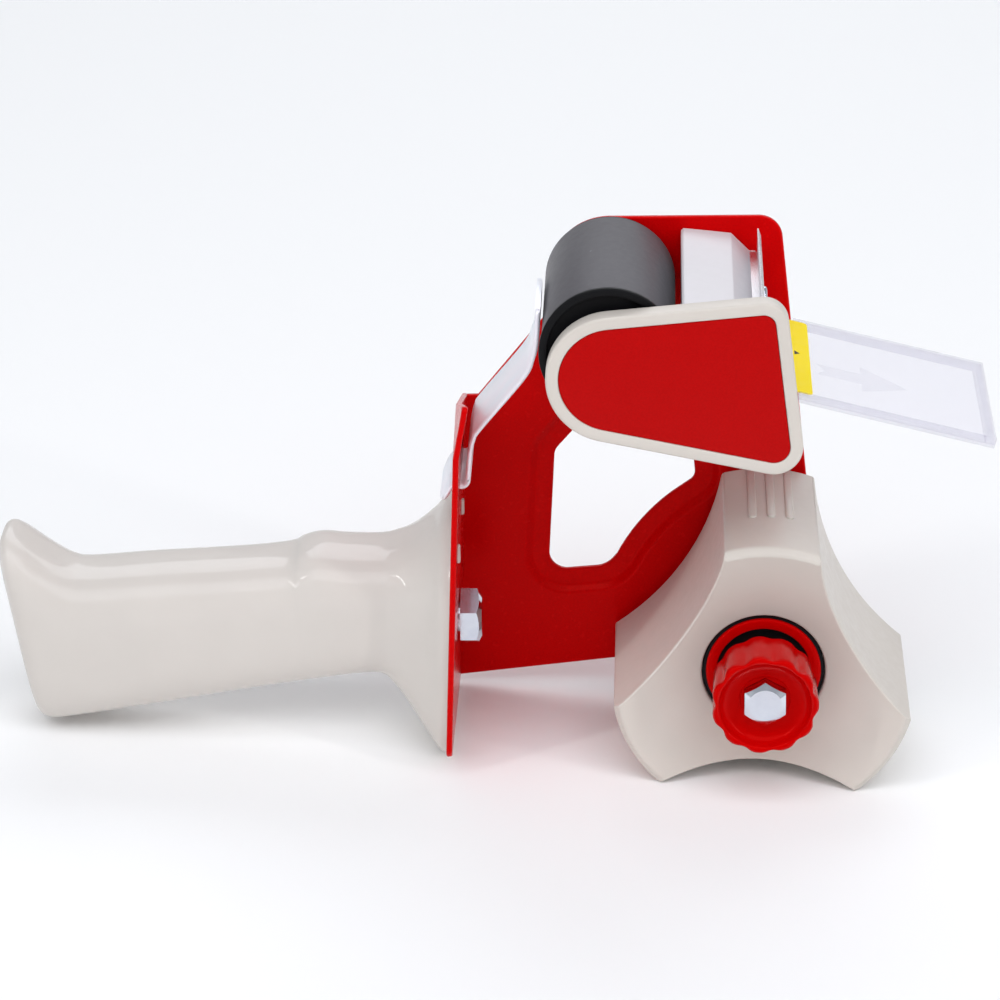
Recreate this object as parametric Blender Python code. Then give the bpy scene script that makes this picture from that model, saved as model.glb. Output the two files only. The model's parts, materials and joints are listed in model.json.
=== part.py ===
"""A hand-held dispenser for 50 mm packing tape, built as an assembly of separate pieces.

The gun frame has its origin at the middle of the hub axle: +X towards the cutting blade,
+Y towards the steel side frame, +Z up. The gun is set down on its hub and on the end of its
handle, so everything but the hub hangs from an empty that leans by REST_TILT about the axle.
Lengths are in metres.
"""

import math

import bmesh
import bpy
from mathutils import Matrix, Vector

# Placing: the floor is z = 0, and the origin is at the middle of the object's footprint.
AXLE_X = 0.0693
AXLE_Y = -0.00125
REST_TILT = math.radians(-2.7)

GAP = 0.0003  # between pieces that touch

# Sheet steel of the side frame
SHEET = 0.0015
PLATE_Y = 0.0265  # inner face of the side plate
PLATE_BACK = PLATE_Y + SHEET
FLANGE_NEAR = -0.0263
FLANGE_X = -0.0736  # inner face of the flange at the crease
FLANGE_LEAN = 0.0406
CREASE_Z = 0.062
TAB_LEAN = 0.19
FLANGE_BOTTOM_NEAR = -0.0175
FLANGE_BOTTOM_FAR = -0.0222
FLANGE_TOP_NEAR = 0.078
FLANGE_TOP_FAR = 0.0565
EMBOSS_DEPTH = 0.0012
EMBOSS_BAND = 0.0057
EMBOSS_SLOPE = 0.0011

# Tape hub
HUB_R = 0.0375
HUB_HALF_LENGTH = 0.024
HUB_ARM_HALF = math.radians(18.1)
HUB_WAIST = 0.0229
HUB_WALL = 0.0022
HUB_SEAT_R = 0.01525
HUB_SEAT_Y = -0.0115
HUB_DISH_Y = -0.0150
HUB_TIP_CHAMFER = 0.0017

# Axle, friction disc, spring and knob
BOLT_R = 0.003
SLEEVE_R = 0.006
SLEEVE_FRONT = -0.0105
DISC_R = 0.0142
DISC_FRONT = -0.0150
KNOB_R = 0.01315
KNOB_VALLEY = 0.0009
KNOB_LOBES = 11
KNOB_FRONT = -0.0340
KNOB_BACK = -0.0215
KNOB_SKIRT = -0.0205  # the rear edge round the washer
BOLT_HEAD_FRONT = -0.0335
BOLT_HEAD_HEIGHT = 0.004
M6_FLATS = 0.010
WASHER_THICK = 0.001
SPRING_WIRE = 0.0006
SPRING_R = 0.0068
SPRING_TURNS = 2.5

# Roller
ROLLER_X = -0.0378
ROLLER_Z = 0.0892
ROLLER_R = 0.016
ROLLER_NEAR = -0.0232
ROLLER_FAR = 0.0240
ROLLER_FLANGE_R = 0.0172
ROLLER_RIM = 0.0017
ROLLER_FAR_FLANGE_R = 0.0155
ROLLER_BODY_R = 0.0130
ROLLER_AXLE_R = 0.003

# Side guard and its panel
GUARD_BACK = -0.0260
GUARD_FRONT = -0.0310
PANEL_BORDER = 0.0030
PANEL_SINK = 0.0009
PANEL_THICK = 0.0006
SCREW_SEAT = GUARD_FRONT + 0.0034  # where the guard screws' heads bear
SCREW_R = 0.0015
SCREW_HEAD_R = 0.0028
SCREW_HEAD = 0.0016
GUARD_SCREWS = ((-0.0130, 0.0950), (-0.0130, 0.0815), (ROLLER_X, ROLLER_Z))

# Blade holder and blade
HOLDER_LEFT = -0.0204
HOLDER_FACE = -0.0020
HOLDER_BOTTOM = 0.0765
HOLDER_STOP = 0.0811  # the underside that the flap's heel bears on
HOLDER_STOP_LEFT = -0.0054
HOLDER_SCREWS = ((-0.0130, 0.0950), (-0.0130, 0.0815))
BLADE_THICK = 0.0009
BLADE_TOP = 0.1023
BLADE_BOTTOM = 0.0830
BLADE_TEETH = 34
BLADE_TOOTH = 0.0011
BLADE_HALF = 0.0238
BLADE_SCREWS = (-0.0140, 0.0140)
BLADE_SCREW_Z = 0.0880
HOLDER_LEDGE = 0.0964
SCREW_LENGTH = 0.0090

# Clear flap
FLAP_PIN_X = 0.0020
FLAP_PIN_Z = 0.0787
FLAP_PIN_R = 0.00125
FLAP_SLOPE = math.radians(14.4)
FLAP_LENGTH = 0.0540
FLAP_THICK = 0.0012
FLAP_HALF_WIDTH = 0.0238
FLAP_TOP = 0.0006
FLAP_SKIRT = 0.0008
FLAP_RIM = 0.0005
FLAP_END_RIM = 0.0022
FLAP_SIDE_RIM = 0.0012
FLAP_BARREL_R = 0.0023
FLAP_HEEL = 0.0050
FLAP_HEEL_THICK = 0.0018
PIN_NEAR = -0.0285
LABEL_GAP = 0.00005
LABEL_THICK = 0.0002

# Brake strap
STRAP_PIVOT_X = -0.0746
STRAP_PIVOT_Z = 0.0484
STRAP_NEAR = -0.0125
STRAP_FAR = 0.0100
STRAP_THICK = 0.0012

# Handle
GRIP_WALL = 0.0028
HANDLE_BOLT_Z = 0.0080
M8_R = 0.004
M8_FLATS = 0.013
M8_HEAD_HEIGHT = 0.0053
M8_NUT_HEIGHT = 0.0065
M8_LENGTH = 0.030


# ---------------------------------------------------------------- scene and materials


def clear_scene():
    for obj in list(bpy.data.objects):
        bpy.data.objects.remove(obj)


def material(name, colour, roughness, metallic=0.0, alpha=1.0):
    made = bpy.data.materials.new(name)
    made.use_nodes = True
    shader = made.node_tree.nodes["Principled BSDF"]
    shader.inputs["Base Color"].default_value = (*colour, 1.0)
    shader.inputs["Roughness"].default_value = roughness
    shader.inputs["Metallic"].default_value = metallic
    shader.inputs["Alpha"].default_value = alpha
    return made


# ---------------------------------------------------------------- outlines


def arc(centre_x, centre_z, radius, start_deg, end_deg, steps):
    """Points along an arc, both ends included."""
    points = []
    for i in range(steps + 1):
        angle = math.radians(start_deg + (end_deg - start_deg) * i / steps)
        points.append((centre_x + radius * math.cos(angle), centre_z + radius * math.sin(angle)))
    return points


def circle(radius, steps, centre_x=0.0, centre_z=0.0):
    return arc(centre_x, centre_z, radius, 0.0, 360.0 * (steps - 1) / steps, steps - 1)


def hexagon(flats, turn_deg=0.0):
    """A hexagon by its width across flats, with a corner straight up at no turn."""
    corner = flats / math.sqrt(3.0)
    return arc(0.0, 0.0, corner, 90.0 + turn_deg, 390.0 + turn_deg, 5)


def filleted(corners, degrees_per_step=15.0):
    """A closed outline from (x, z, radius) corners, each rounded by an arc."""
    points = []
    count = len(corners)
    for i, (x, z, radius) in enumerate(corners):
        here = Vector((x, z))
        before = (Vector(corners[i - 1][:2]) - here).normalized()
        after = (Vector(corners[(i + 1) % count][:2]) - here).normalized()
        if radius == 0.0:
            points.append((x, z))
            continue
        half = before.angle(after) / 2.0
        centre = here + (before + after).normalized() * (radius / math.sin(half))
        first = here + before * (radius / math.tan(half)) - centre
        last = here + after * (radius / math.tan(half)) - centre
        start = math.atan2(first.y, first.x)
        sweep = (math.atan2(last.y, last.x) - start + math.pi) % (2.0 * math.pi) - math.pi
        steps = max(2, round(abs(math.degrees(sweep)) / degrees_per_step))
        for k in range(steps + 1):
            angle = start + sweep * k / steps
            points.append((centre.x + radius * math.cos(angle), centre.y + radius * math.sin(angle)))
    return points


def signed_area(points):
    total = 0.0
    for i, (x, z) in enumerate(points):
        last_x, last_z = points[i - 1]
        total += last_x * z - x * last_z
    return total / 2.0


def grown(points, distance):
    """The outline moved outwards by a distance, point by point."""
    turn = 1.0 if signed_area(points) > 0.0 else -1.0
    count = len(points)
    moved = []
    for i, point in enumerate(points):
        here = Vector(point)
        before = (here - Vector(points[i - 1])).normalized()
        after = (Vector(points[(i + 1) % count]) - here).normalized()
        normal_before = Vector((before.y, -before.x)) * turn
        normal_after = Vector((after.y, -after.x)) * turn
        both = normal_before + normal_after
        moved.append(tuple(here + both * (2.0 * distance / both.length_squared)))
    return moved


def ribbon(path, thickness):
    """The outline of a strip that follows a path, half its thickness to each side."""
    left = []
    right = []
    for i, point in enumerate(path):
        here = Vector(point)
        ahead = Vector(path[min(i + 1, len(path) - 1)])
        behind = Vector(path[max(i - 1, 0)])
        along = (ahead - behind).normalized()
        side = Vector((along.y, -along.x)) * (thickness / 2.0)
        left.append(tuple(here - side))
        right.append(tuple(here + side))
    return left + right[::-1]


# ---------------------------------------------------------------- meshes


def finish(name, work, look, parent, smooth_deg=None, axis=(0.0, 0.0)):
    """Turns a bmesh in the gun frame into an object with its origin on the axis at (x, z)."""
    bmesh.ops.remove_doubles(work, verts=work.verts, dist=1e-7)
    bmesh.ops.translate(work, vec=(-axis[0], 0.0, -axis[1]), verts=work.verts)
    bmesh.ops.recalc_face_normals(work, faces=work.faces)
    mesh = bpy.data.meshes.new(name)
    work.to_mesh(mesh)
    work.free()
    mesh.materials.append(look)
    if smooth_deg is not None:
        mesh.shade_smooth()
        mesh.set_sharp_from_angle(angle=math.radians(smooth_deg))
    made = bpy.data.objects.new(name, mesh)
    bpy.context.scene.collection.objects.link(made)
    made.parent = parent
    made.location = (axis[0], 0.0, axis[1])
    return made


def loop_of(work, points, y):
    verts = [work.verts.new((x, y, z)) for x, z in points]
    edges = [work.edges.new((verts[i - 1], verts[i])) for i in range(len(verts))]
    return verts, edges


def wall(work, first, second):
    for i in range(len(first)):
        work.faces.new((first[i - 1], first[i], second[i], second[i - 1]))


def slab(outline, near, far, holes=()):
    """An outline in X and Z, with holes, extruded from near to far along Y."""
    work = bmesh.new()
    for y in (near, far):
        edges = []
        for points in (outline, *holes):
            edges += loop_of(work, points, y)[1]
        bmesh.ops.triangle_fill(work, edges=edges, use_beauty=True)
    work.verts.ensure_lookup_table()
    count = len(work.verts) // 2
    start = 0
    for points in (outline, *holes):
        size = len(points)
        near_ring = [work.verts[start + i] for i in range(size)]
        far_ring = [work.verts[count + start + i] for i in range(size)]
        wall(work, near_ring, far_ring)
        start += size
    return work


def stack(rings):
    """A solid through rings of (x, y, z) points, capped at both ends."""
    work = bmesh.new()
    loops = [[work.verts.new(point) for point in ring] for ring in rings]
    for first, second in zip(loops, loops[1:]):
        wall(work, first, second)
    work.faces.new(loops[0])
    work.faces.new(loops[-1])
    return work


def prism_rings(sections):
    """Rings for stack from (outline, y) sections."""
    return [[(x, y, z) for x, z in outline] for outline, y in sections]


def turned(profile, steps, centre_x=0.0, centre_z=0.0):
    """A ring-shaped solid: a closed (radius, y) profile turned about an axis along Y."""
    work = bmesh.new()
    loops = []
    for i in range(steps):
        angle = 2.0 * math.pi * i / steps
        cos, sin = math.cos(angle), math.sin(angle)
        ring = [(centre_x + r * cos, y, centre_z + r * sin) for r, y in profile]
        loops.append([work.verts.new(point) for point in ring])
    for i in range(steps):
        wall(work, loops[i - 1], loops[i])
    return work


def shaft(profile, steps, centre_x=0.0, centre_z=0.0):
    """A solid of (radius, y) steps on an axis along Y."""
    rings = []
    for radius, y in profile:
        rings.append([(x, y, z) for x, z in circle(radius, steps, centre_x, centre_z)])
    return stack(rings)


def hide_helper(helper):
    helper.hide_render = True
    helper.display_type = "WIRE"


def combine(target, work, operation):
    """A Boolean of the target with another shape in the gun frame."""
    helper = finish(target.name + "_helper", work, target.data.materials[0], target.parent)
    hide_helper(helper)
    step = target.modifiers.new(operation.title(), "BOOLEAN")
    step.operation = operation
    step.object = helper


def along_x(work, x, y, z):
    """Takes a shape made on the Y axis and lays it along X: its +Y end points to +X."""
    spin = Matrix.Rotation(math.radians(-90.0), 3, "Z")
    bmesh.ops.rotate(work, cent=(0.0, 0.0, 0.0), matrix=spin, verts=work.verts)
    bmesh.ops.translate(work, vec=(x, y, z), verts=work.verts)
    return work


# ---------------------------------------------------------------- side frame


def flange_x(z):
    """The flange's inner face: it leans a little, and more above its crease."""
    lean = TAB_LEAN if z > CREASE_Z else FLANGE_LEAN
    return FLANGE_X + (z - CREASE_Z) * lean


def window_outline():
    """The opening in the side plate, with one edge that runs round the tape hub."""
    corners = [(-0.0181, 0.0515, 0.0050), (-0.0430, 0.0515, 0.0050)]
    corners += [(-0.0521, 0.0408, 0.0040), (-0.0540, 0.0072, 0.0045)]
    top_and_left = filleted(corners + [(-0.0390, 0.0086, 0.0), (-0.0166, 0.0340, 0.0)])[:-2]
    round_hub = arc(0.0100, -0.0115, 0.0520, 156.0, 126.0, 7)
    ends = [(-0.0395, 0.0084), *round_hub, (-0.0170, 0.0330)]
    return top_and_left + ends


def plate_outline():
    corners = [
        (flange_x(FLANGE_BOTTOM_FAR) - 0.0004, FLANGE_BOTTOM_FAR, 0.0),
        (0.0161, -0.0106, 0.0137),
        (0.0041, 0.1043, 0.0060),
        (-0.0550, 0.1040, 0.0155),
        (-0.0550, 0.0768, 0.0080),
        (-0.0711, 0.0566, 0.0),
        (flange_x(FLANGE_TOP_FAR) - 0.0004, FLANGE_TOP_FAR, 0.0),
    ]
    return filleted(corners)


def side_plate():
    """The plate, with the band round its opening pressed outwards."""
    work = bmesh.new()
    outer = plate_outline()
    window = window_outline()
    bands = [
        (grown(window, EMBOSS_BAND), 0.0),
        (grown(window, EMBOSS_BAND - EMBOSS_SLOPE), EMBOSS_DEPTH),
        (window, EMBOSS_DEPTH),
    ]
    rims = []
    mouths = []
    for face in (PLATE_Y, PLATE_BACK):
        rim, rim_edges = loop_of(work, outer, face)
        loops = [loop_of(work, points, face + depth) for points, depth in bands]
        bmesh.ops.triangle_fill(work, edges=rim_edges + loops[0][1], use_beauty=True)
        for (first, _), (second, _) in zip(loops, loops[1:]):
            wall(work, first, second)
        rims.append(rim)
        mouths.append(loops[-1][0])
    wall(work, rims[0], rims[1])
    wall(work, mouths[0], mouths[1])
    return work


def flange():
    """The rear flange, bent from the plate's edge, with the leaning tab above its crease."""
    cross = FLANGE_NEAR + (PLATE_BACK - FLANGE_NEAR) * (FLANGE_TOP_NEAR - CREASE_Z) / (
        FLANGE_TOP_NEAR - FLANGE_TOP_FAR
    )
    outline = filleted(
        [
            (FLANGE_NEAR, FLANGE_BOTTOM_NEAR, 0.004),
            (PLATE_BACK, FLANGE_BOTTOM_FAR, 0.0),
            (PLATE_BACK, FLANGE_TOP_FAR, 0.0),
            (cross, CREASE_Z, 0.0),
            (FLANGE_NEAR, FLANGE_TOP_NEAR, 0.004),
            (FLANGE_NEAR, CREASE_Z, 0.0),
        ]
    )
    lower = [point for point in outline if point[1] <= CREASE_Z]
    upper = [point for point in outline if point[1] >= CREASE_Z]
    work = bmesh.new()
    for part in (lower, upper):
        work.faces.new([work.verts.new((flange_x(z), y, z)) for y, z in part])
    bmesh.ops.remove_doubles(work, verts=work.verts, dist=1e-7)
    grown_faces = bmesh.ops.extrude_face_region(work, geom=work.faces[:], use_keep_orig=True)
    moved = [item for item in grown_faces["geom"] if isinstance(item, bmesh.types.BMVert)]
    bmesh.ops.translate(work, vec=(-SHEET, 0.0, 0.0), verts=moved)
    return work


def cutter_box(x, y, z):
    """A box from three (low, high) pairs."""
    return slab([(x[0], z[0]), (x[1], z[0]), (x[1], z[1]), (x[0], z[1])], y[0], y[1])


def side_frame(look, parent):
    made = finish("side_frame", side_plate(), look, parent)
    combine(made, flange(), "UNION")
    through = (-0.080, -0.068)
    slots = [
        ((STRAP_NEAR - 0.0008, STRAP_FAR + 0.0008), (0.0464, 0.0504)),
        ((0.0020, 0.0037), (0.0344, 0.0390)),
        ((-0.0181, -0.0164), (0.0306, 0.0358)),
    ]
    for y, z in slots:
        combine(made, cutter_box(through, y, z), "DIFFERENCE")
    hole = along_x(shaft([(M8_R + GAP, 0.0), (M8_R + GAP, 0.012)], 24), -0.080, 0.0, HANDLE_BOLT_Z)
    combine(made, hole, "DIFFERENCE")
    near, far = PLATE_Y - 0.002, PLATE_BACK + 0.002
    drilled = [(BOLT_R, 0.0, 0.0), (ROLLER_AXLE_R, ROLLER_X, ROLLER_Z)]
    drilled += [(FLAP_PIN_R, FLAP_PIN_X, FLAP_PIN_Z)]
    drilled += [(SCREW_R, x, z) for x, z in HOLDER_SCREWS]
    for radius, x, z in drilled:
        combine(made, shaft([(radius + GAP, near), (radius + GAP, far)], 20, x, z), "DIFFERENCE")
    return made


# ---------------------------------------------------------------- handle


def grip_sections():
    """Stations from the flange to the grip's end: top x, top z, bottom x, bottom z, half width."""
    return [
        (-0.0762, 0.0372, -0.0786, -0.0215, 0.0232),
        (-0.0792, 0.0362, -0.0808, -0.0212, 0.0218),
        (-0.0832, 0.0326, -0.0842, -0.0180, 0.0190),
        (-0.0874, 0.0304, -0.0878, -0.0140, 0.0170),
        (-0.0912, 0.0294, -0.0912, -0.0090, 0.0160),
        (-0.0955, 0.0288, -0.0948, -0.0058, 0.0156),
        (-0.1036, 0.0290, -0.1010, -0.0062, 0.0156),
        (-0.1098, 0.0295, -0.1070, -0.0072, 0.0155),
        (-0.1143, 0.0286, -0.1120, -0.0080, 0.0150),
        (-0.1180, 0.0270, -0.1170, -0.0088, 0.0146),
        (-0.1299, 0.0257, -0.1300, -0.0109, 0.0145),
        (-0.1524, 0.0243, -0.1480, -0.0141, 0.0147),
        (-0.1675, 0.0231, -0.1640, -0.0169, 0.0148),
        (-0.1725, 0.0238, -0.1700, -0.0179, 0.0148),
        (-0.1782, 0.0274, -0.1752, -0.0189, 0.0147),
        (-0.1833, 0.0316, -0.1792, -0.0194, 0.0144),
        (-0.1861, 0.0332, -0.1818, -0.0185, 0.0136),
        (-0.1878, 0.0325, -0.1833, -0.0160, 0.0118),
        (-0.1888, 0.0295, -0.1846, -0.0105, 0.0080),
    ]


def grip_ring(station, steps, inset=0.0):
    """One rounded-box ring of the grip, drawn in by an inset."""
    top_x, top_z, bottom_x, bottom_z, half_width = station
    half_height = (top_z - bottom_z) / 2.0
    ring = []
    for i in range(steps):
        angle = 2.0 * math.pi * i / steps
        cos, sin = math.cos(angle), math.sin(angle)
        across = math.copysign(abs(cos) ** 0.72, cos) * (half_width - inset)
        up = math.copysign(abs(sin) ** 0.78, sin) * (half_height - inset) / half_height
        share = (up + 1.0) / 2.0
        x = bottom_x + (top_x - bottom_x) * share
        ring.append((x, across, bottom_z + (top_z - bottom_z) * share))
    return ring


def handle_grip(look, parent):
    """The hollow grip: open at the flange, with a web and a boss that holds the nut."""
    steps = 28
    stations = grip_sections()
    outside = [grip_ring(station, steps) for station in stations]
    made = finish("handle_grip", stack(outside), look, parent, 40.0)
    first = stations[0]
    mouth = (first[0] + 0.004, *first[1:2], first[2] + 0.004, *first[3:])
    inner_stations = [mouth, *stations[2:-3:2]]
    inside = [grip_ring(station, 16, GRIP_WALL) for station in inner_stations]
    combine(made, stack(inside), "DIFFERENCE")
    web = [(-0.0792, -0.0180), (-0.0780, 0.0335), (-0.0860, 0.0290), (-0.1000, 0.0275)]
    web += [(-0.1120, 0.0272), (-0.1500, 0.0225), (-0.1500, -0.0120)]
    web += [(-0.0950, -0.0040)]
    combine(made, slab(web, -0.0014, 0.0014), "UNION")
    boss = along_x(shaft([(0.0105, 0.0), (0.0105, 0.0250)], 24), -0.1030, 0.0, HANDLE_BOLT_Z)
    combine(made, boss, "UNION")
    bore = along_x(shaft([(M8_R + GAP, 0.0), (M8_R + GAP, 0.030)], 24), -0.1010, 0.0, HANDLE_BOLT_Z)
    combine(made, bore, "DIFFERENCE")
    pocket = prism_rings([(hexagon(M8_FLATS + 2 * GAP), y) for y in (0.0, M8_NUT_HEIGHT + 2 * GAP)])
    nut_room = along_x(stack(pocket), -0.0940 - GAP, 0.0, HANDLE_BOLT_Z)
    combine(made, nut_room, "DIFFERENCE")
    face = slab(flange_side_outline(), -0.040, 0.040)
    combine(made, face, "DIFFERENCE")
    return made


def flange_side_outline():
    """Everything from a little behind the flange's outer face forwards."""
    behind = SHEET + GAP
    low, high = -0.040, CREASE_Z
    return [
        (flange_x(low) - behind, low),
        (-0.050, low),
        (-0.050, high),
        (flange_x(high) - behind, high),
    ]


def handle_bolt(look, parent):
    """A hexagon bolt through the flange into the grip."""
    seat = flange_x(HANDLE_BOLT_Z) + 0.0006
    head = prism_rings([(hexagon(M8_FLATS), y) for y in (0.0, M8_HEAD_HEIGHT)])
    made = finish("handle_bolt", along_x(stack(head), seat, 0.0, HANDLE_BOLT_Z), look, parent)
    shank = shaft([(M8_R, -M8_LENGTH + 0.005), (M8_R, 0.001)], 24)
    combine(made, along_x(shank, seat, 0.0, HANDLE_BOLT_Z), "UNION")
    return made


def handle_nut(look, parent):
    outline = hexagon(M8_FLATS)
    work = slab(outline, 0.0, M8_NUT_HEIGHT, [circle(M8_R + GAP / 2, 24)])
    return finish("handle_nut", along_x(work, -0.0940, 0.0, HANDLE_BOLT_Z), look, parent)


# ---------------------------------------------------------------- brake strap


def strap_path():
    """From the end that meets the roller down to the hook and out to the thumb tab."""
    upper = [(-0.0547, 0.0950), (-0.0551, 0.0872), (-0.0562, 0.0822), (-0.0586, 0.0772)]
    middle = [(-0.0690, 0.0643), (-0.0708, 0.0612), (-0.0717, 0.0570), (-0.0722, 0.0512)]
    hook = arc(-0.0739, 0.0505, 0.0017, 0.0, -80.0, 4)
    tab = [(-0.0758, 0.0487), (-0.0768, 0.0479), (-0.0788, 0.0444)]
    return upper + middle + hook + tab


def brake_strap(look, parent):
    work = slab(ribbon(strap_path(), STRAP_THICK), STRAP_NEAR, STRAP_FAR)
    return finish("brake_strap", work, look, parent, axis=(STRAP_PIVOT_X, STRAP_PIVOT_Z))


# ---------------------------------------------------------------- roller


def roller_sleeve(look, parent):
    inner = ROLLER_BODY_R + GAP
    profile = [(inner, ROLLER_NEAR), (ROLLER_R, ROLLER_NEAR), (ROLLER_R, ROLLER_FAR), (inner, ROLLER_FAR)]
    work = turned(profile, 48, ROLLER_X, ROLLER_Z)
    return finish("roller_sleeve", work, look, parent, 40.0, (ROLLER_X, ROLLER_Z))


def roller_core(look, parent):
    """The spool inside the rubber, with a rim at each end."""
    bore = ROLLER_AXLE_R + GAP
    near, far = ROLLER_NEAR - ROLLER_RIM, ROLLER_FAR + ROLLER_RIM
    profile = [(bore, near), (ROLLER_FLANGE_R, near), (ROLLER_FLANGE_R, ROLLER_NEAR - GAP)]
    profile += [(ROLLER_BODY_R, ROLLER_NEAR - GAP), (ROLLER_BODY_R, ROLLER_FAR + GAP)]
    profile += [(ROLLER_FAR_FLANGE_R, ROLLER_FAR + GAP), (ROLLER_FAR_FLANGE_R, far), (bore, far)]
    work = turned(profile, 48, ROLLER_X, ROLLER_Z)
    return finish("roller_core", work, look, parent, 40.0, (ROLLER_X, ROLLER_Z))


def roller_axle(look, parent):
    """A pin riveted to the side plate, with its near end in the guard."""
    head_r, head = 0.0055, 0.0022
    back = PLATE_BACK + GAP
    profile = [(ROLLER_AXLE_R, GUARD_BACK - 0.0010), (ROLLER_AXLE_R, back)]
    profile += [(head_r, back), (head_r, back + head * 0.6), (head_r * 0.7, back + head)]
    made = finish("roller_axle", shaft(profile, 24, ROLLER_X, ROLLER_Z), look, parent, 40.0)
    tapped = [(SCREW_R + GAP, -0.030), (SCREW_R + GAP, SCREW_SEAT + SCREW_LENGTH + 0.001)]
    combine(made, shaft(tapped, 16, ROLLER_X, ROLLER_Z), "DIFFERENCE")
    return made


# ---------------------------------------------------------------- guard


def guard_outline():
    """A wedge-shaped outline whose round end lies over the roller."""
    return filleted([(-0.1411, 0.0904, 0.0160), (0.0095, 0.0584, 0.0070), (0.0039, 0.1046, 0.0060)])


def side_guard(look, parent):
    outline = guard_outline()
    made = finish("side_guard", slab(outline, GUARD_FRONT, GUARD_BACK), look, parent, 30.0)
    recess = slab(grown(outline, -PANEL_BORDER), GUARD_FRONT - 0.002, GUARD_FRONT + 0.0018)
    combine(made, recess, "DIFFERENCE")
    bore = ROLLER_AXLE_R + GAP
    seat = shaft([(bore, GUARD_BACK - 0.0014), (bore, -0.020)], 24, ROLLER_X, ROLLER_Z)
    combine(made, seat, "DIFFERENCE")
    for x, z in GUARD_SCREWS:
        head = shaft([(SCREW_HEAD_R + GAP, GUARD_FRONT), (SCREW_HEAD_R + GAP, SCREW_SEAT)], 16, x, z)
        combine(made, head, "DIFFERENCE")
        hole = shaft([(SCREW_R + GAP, GUARD_FRONT), (SCREW_R + GAP, GUARD_BACK + 0.002)], 16, x, z)
        combine(made, hole, "DIFFERENCE")
    pin_room = [(FLAP_PIN_R + GAP, PIN_NEAR - GAP), (FLAP_PIN_R + GAP, -0.020)]
    combine(made, shaft(pin_room, 16, FLAP_PIN_X, FLAP_PIN_Z), "DIFFERENCE")
    return made


def guard_panel(look, parent):
    """The painted cover plate let into the guard, over its screws."""
    outline = grown(guard_outline(), -PANEL_BORDER - GAP)
    front = GUARD_FRONT + PANEL_SINK
    return finish("guard_panel", slab(outline, front, front + PANEL_THICK), look, parent)


def guard_screw(name, x, z, look, parent):
    """A pan-head screw that holds the guard, hidden by the panel."""
    seat = SCREW_SEAT - GAP
    profile = [(SCREW_HEAD_R * 0.8, seat - SCREW_HEAD), (SCREW_HEAD_R, seat - SCREW_HEAD * 0.7)]
    profile += [(SCREW_HEAD_R, seat), (SCREW_R, seat), (SCREW_R, seat + SCREW_LENGTH)]
    return finish(name, shaft(profile, 16, x, z), look, parent, 40.0)


# ---------------------------------------------------------------- blade holder and blade


def blade_holder(look, parent):
    """The plastic block between the plate and the guard, with a ledge behind the blade."""
    profile = [
        (HOLDER_LEFT, HOLDER_BOTTOM),
        (HOLDER_STOP_LEFT, HOLDER_BOTTOM),
        (HOLDER_STOP_LEFT, HOLDER_STOP),
        (HOLDER_FACE, HOLDER_STOP),
        (HOLDER_FACE, HOLDER_LEDGE),
        (-0.0035, HOLDER_LEDGE),
        (-0.0081, 0.1010),
        (HOLDER_LEFT + 0.0006, 0.1023),
        (HOLDER_LEFT, 0.1017),
    ]
    near, far = GUARD_BACK + GAP, PLATE_Y - GAP
    made = finish("blade_holder", slab(profile, near, far), look, parent)
    depth = 0.0110
    for x, z in HOLDER_SCREWS:
        for low, high in ((near - 0.001, near + depth), (far - depth, far + 0.001)):
            hole = shaft([(SCREW_R + GAP, low), (SCREW_R + GAP, high)], 16, x, z)
            combine(made, hole, "DIFFERENCE")
    for y in BLADE_SCREWS:
        hole = shaft([(SCREW_R + GAP, -0.0095), (SCREW_R + GAP, 0.002)], 16)
        combine(made, along_x(hole, HOLDER_FACE, y, BLADE_SCREW_Z), "DIFFERENCE")
    return made


def cutting_blade(look, parent):
    """A serrated steel strip on the holder's face, its teeth standing above the ledge."""
    length = 2.0 * BLADE_HALF
    pitch = length / BLADE_TEETH
    outline = [(-BLADE_HALF, BLADE_BOTTOM), (BLADE_HALF, BLADE_BOTTOM)]
    for i in range(BLADE_TEETH):
        start = BLADE_HALF - i * pitch
        outline.append((start, BLADE_TOP - BLADE_TOOTH))
        outline.append((start - pitch / 2.0, BLADE_TOP))
    outline.append((-BLADE_HALF, BLADE_TOP - BLADE_TOOTH))
    holes = [circle(SCREW_R + GAP, 16, y, BLADE_SCREW_Z) for y in BLADE_SCREWS]
    work = slab(outline, 0.0, BLADE_THICK, holes)
    spin = Matrix.Rotation(math.radians(90.0), 3, "Z")
    bmesh.ops.rotate(work, cent=(0.0, 0.0, 0.0), matrix=spin, verts=work.verts)
    bmesh.ops.translate(work, vec=(HOLDER_FACE + GAP + BLADE_THICK, 0.0, 0.0), verts=work.verts)
    return finish("cutting_blade", work, look, parent)


def blade_screw(name, y, look, parent):
    seat = HOLDER_FACE + 2.0 * GAP + BLADE_THICK
    profile = [(SCREW_R, -0.0080), (SCREW_R, 0.0), (SCREW_HEAD_R, 0.0)]
    profile += [(SCREW_HEAD_R, 0.0007), (SCREW_HEAD_R * 0.7, 0.0012)]
    work = along_x(shaft(profile, 16), seat, y, BLADE_SCREW_Z)
    return finish(name, work, look, parent, 40.0)


def holder_screw(name, x, z, look, parent):
    """A pan-head screw through the side plate into the holder's end."""
    seat = PLATE_BACK + GAP
    profile = [(SCREW_R, seat - SCREW_LENGTH), (SCREW_R, seat), (SCREW_HEAD_R, seat)]
    profile += [(SCREW_HEAD_R, seat + SCREW_HEAD * 0.7), (SCREW_HEAD_R * 0.8, seat + SCREW_HEAD)]
    return finish(name, shaft(profile, 16, x, z), look, parent, 40.0)


# ---------------------------------------------------------------- flap


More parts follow.
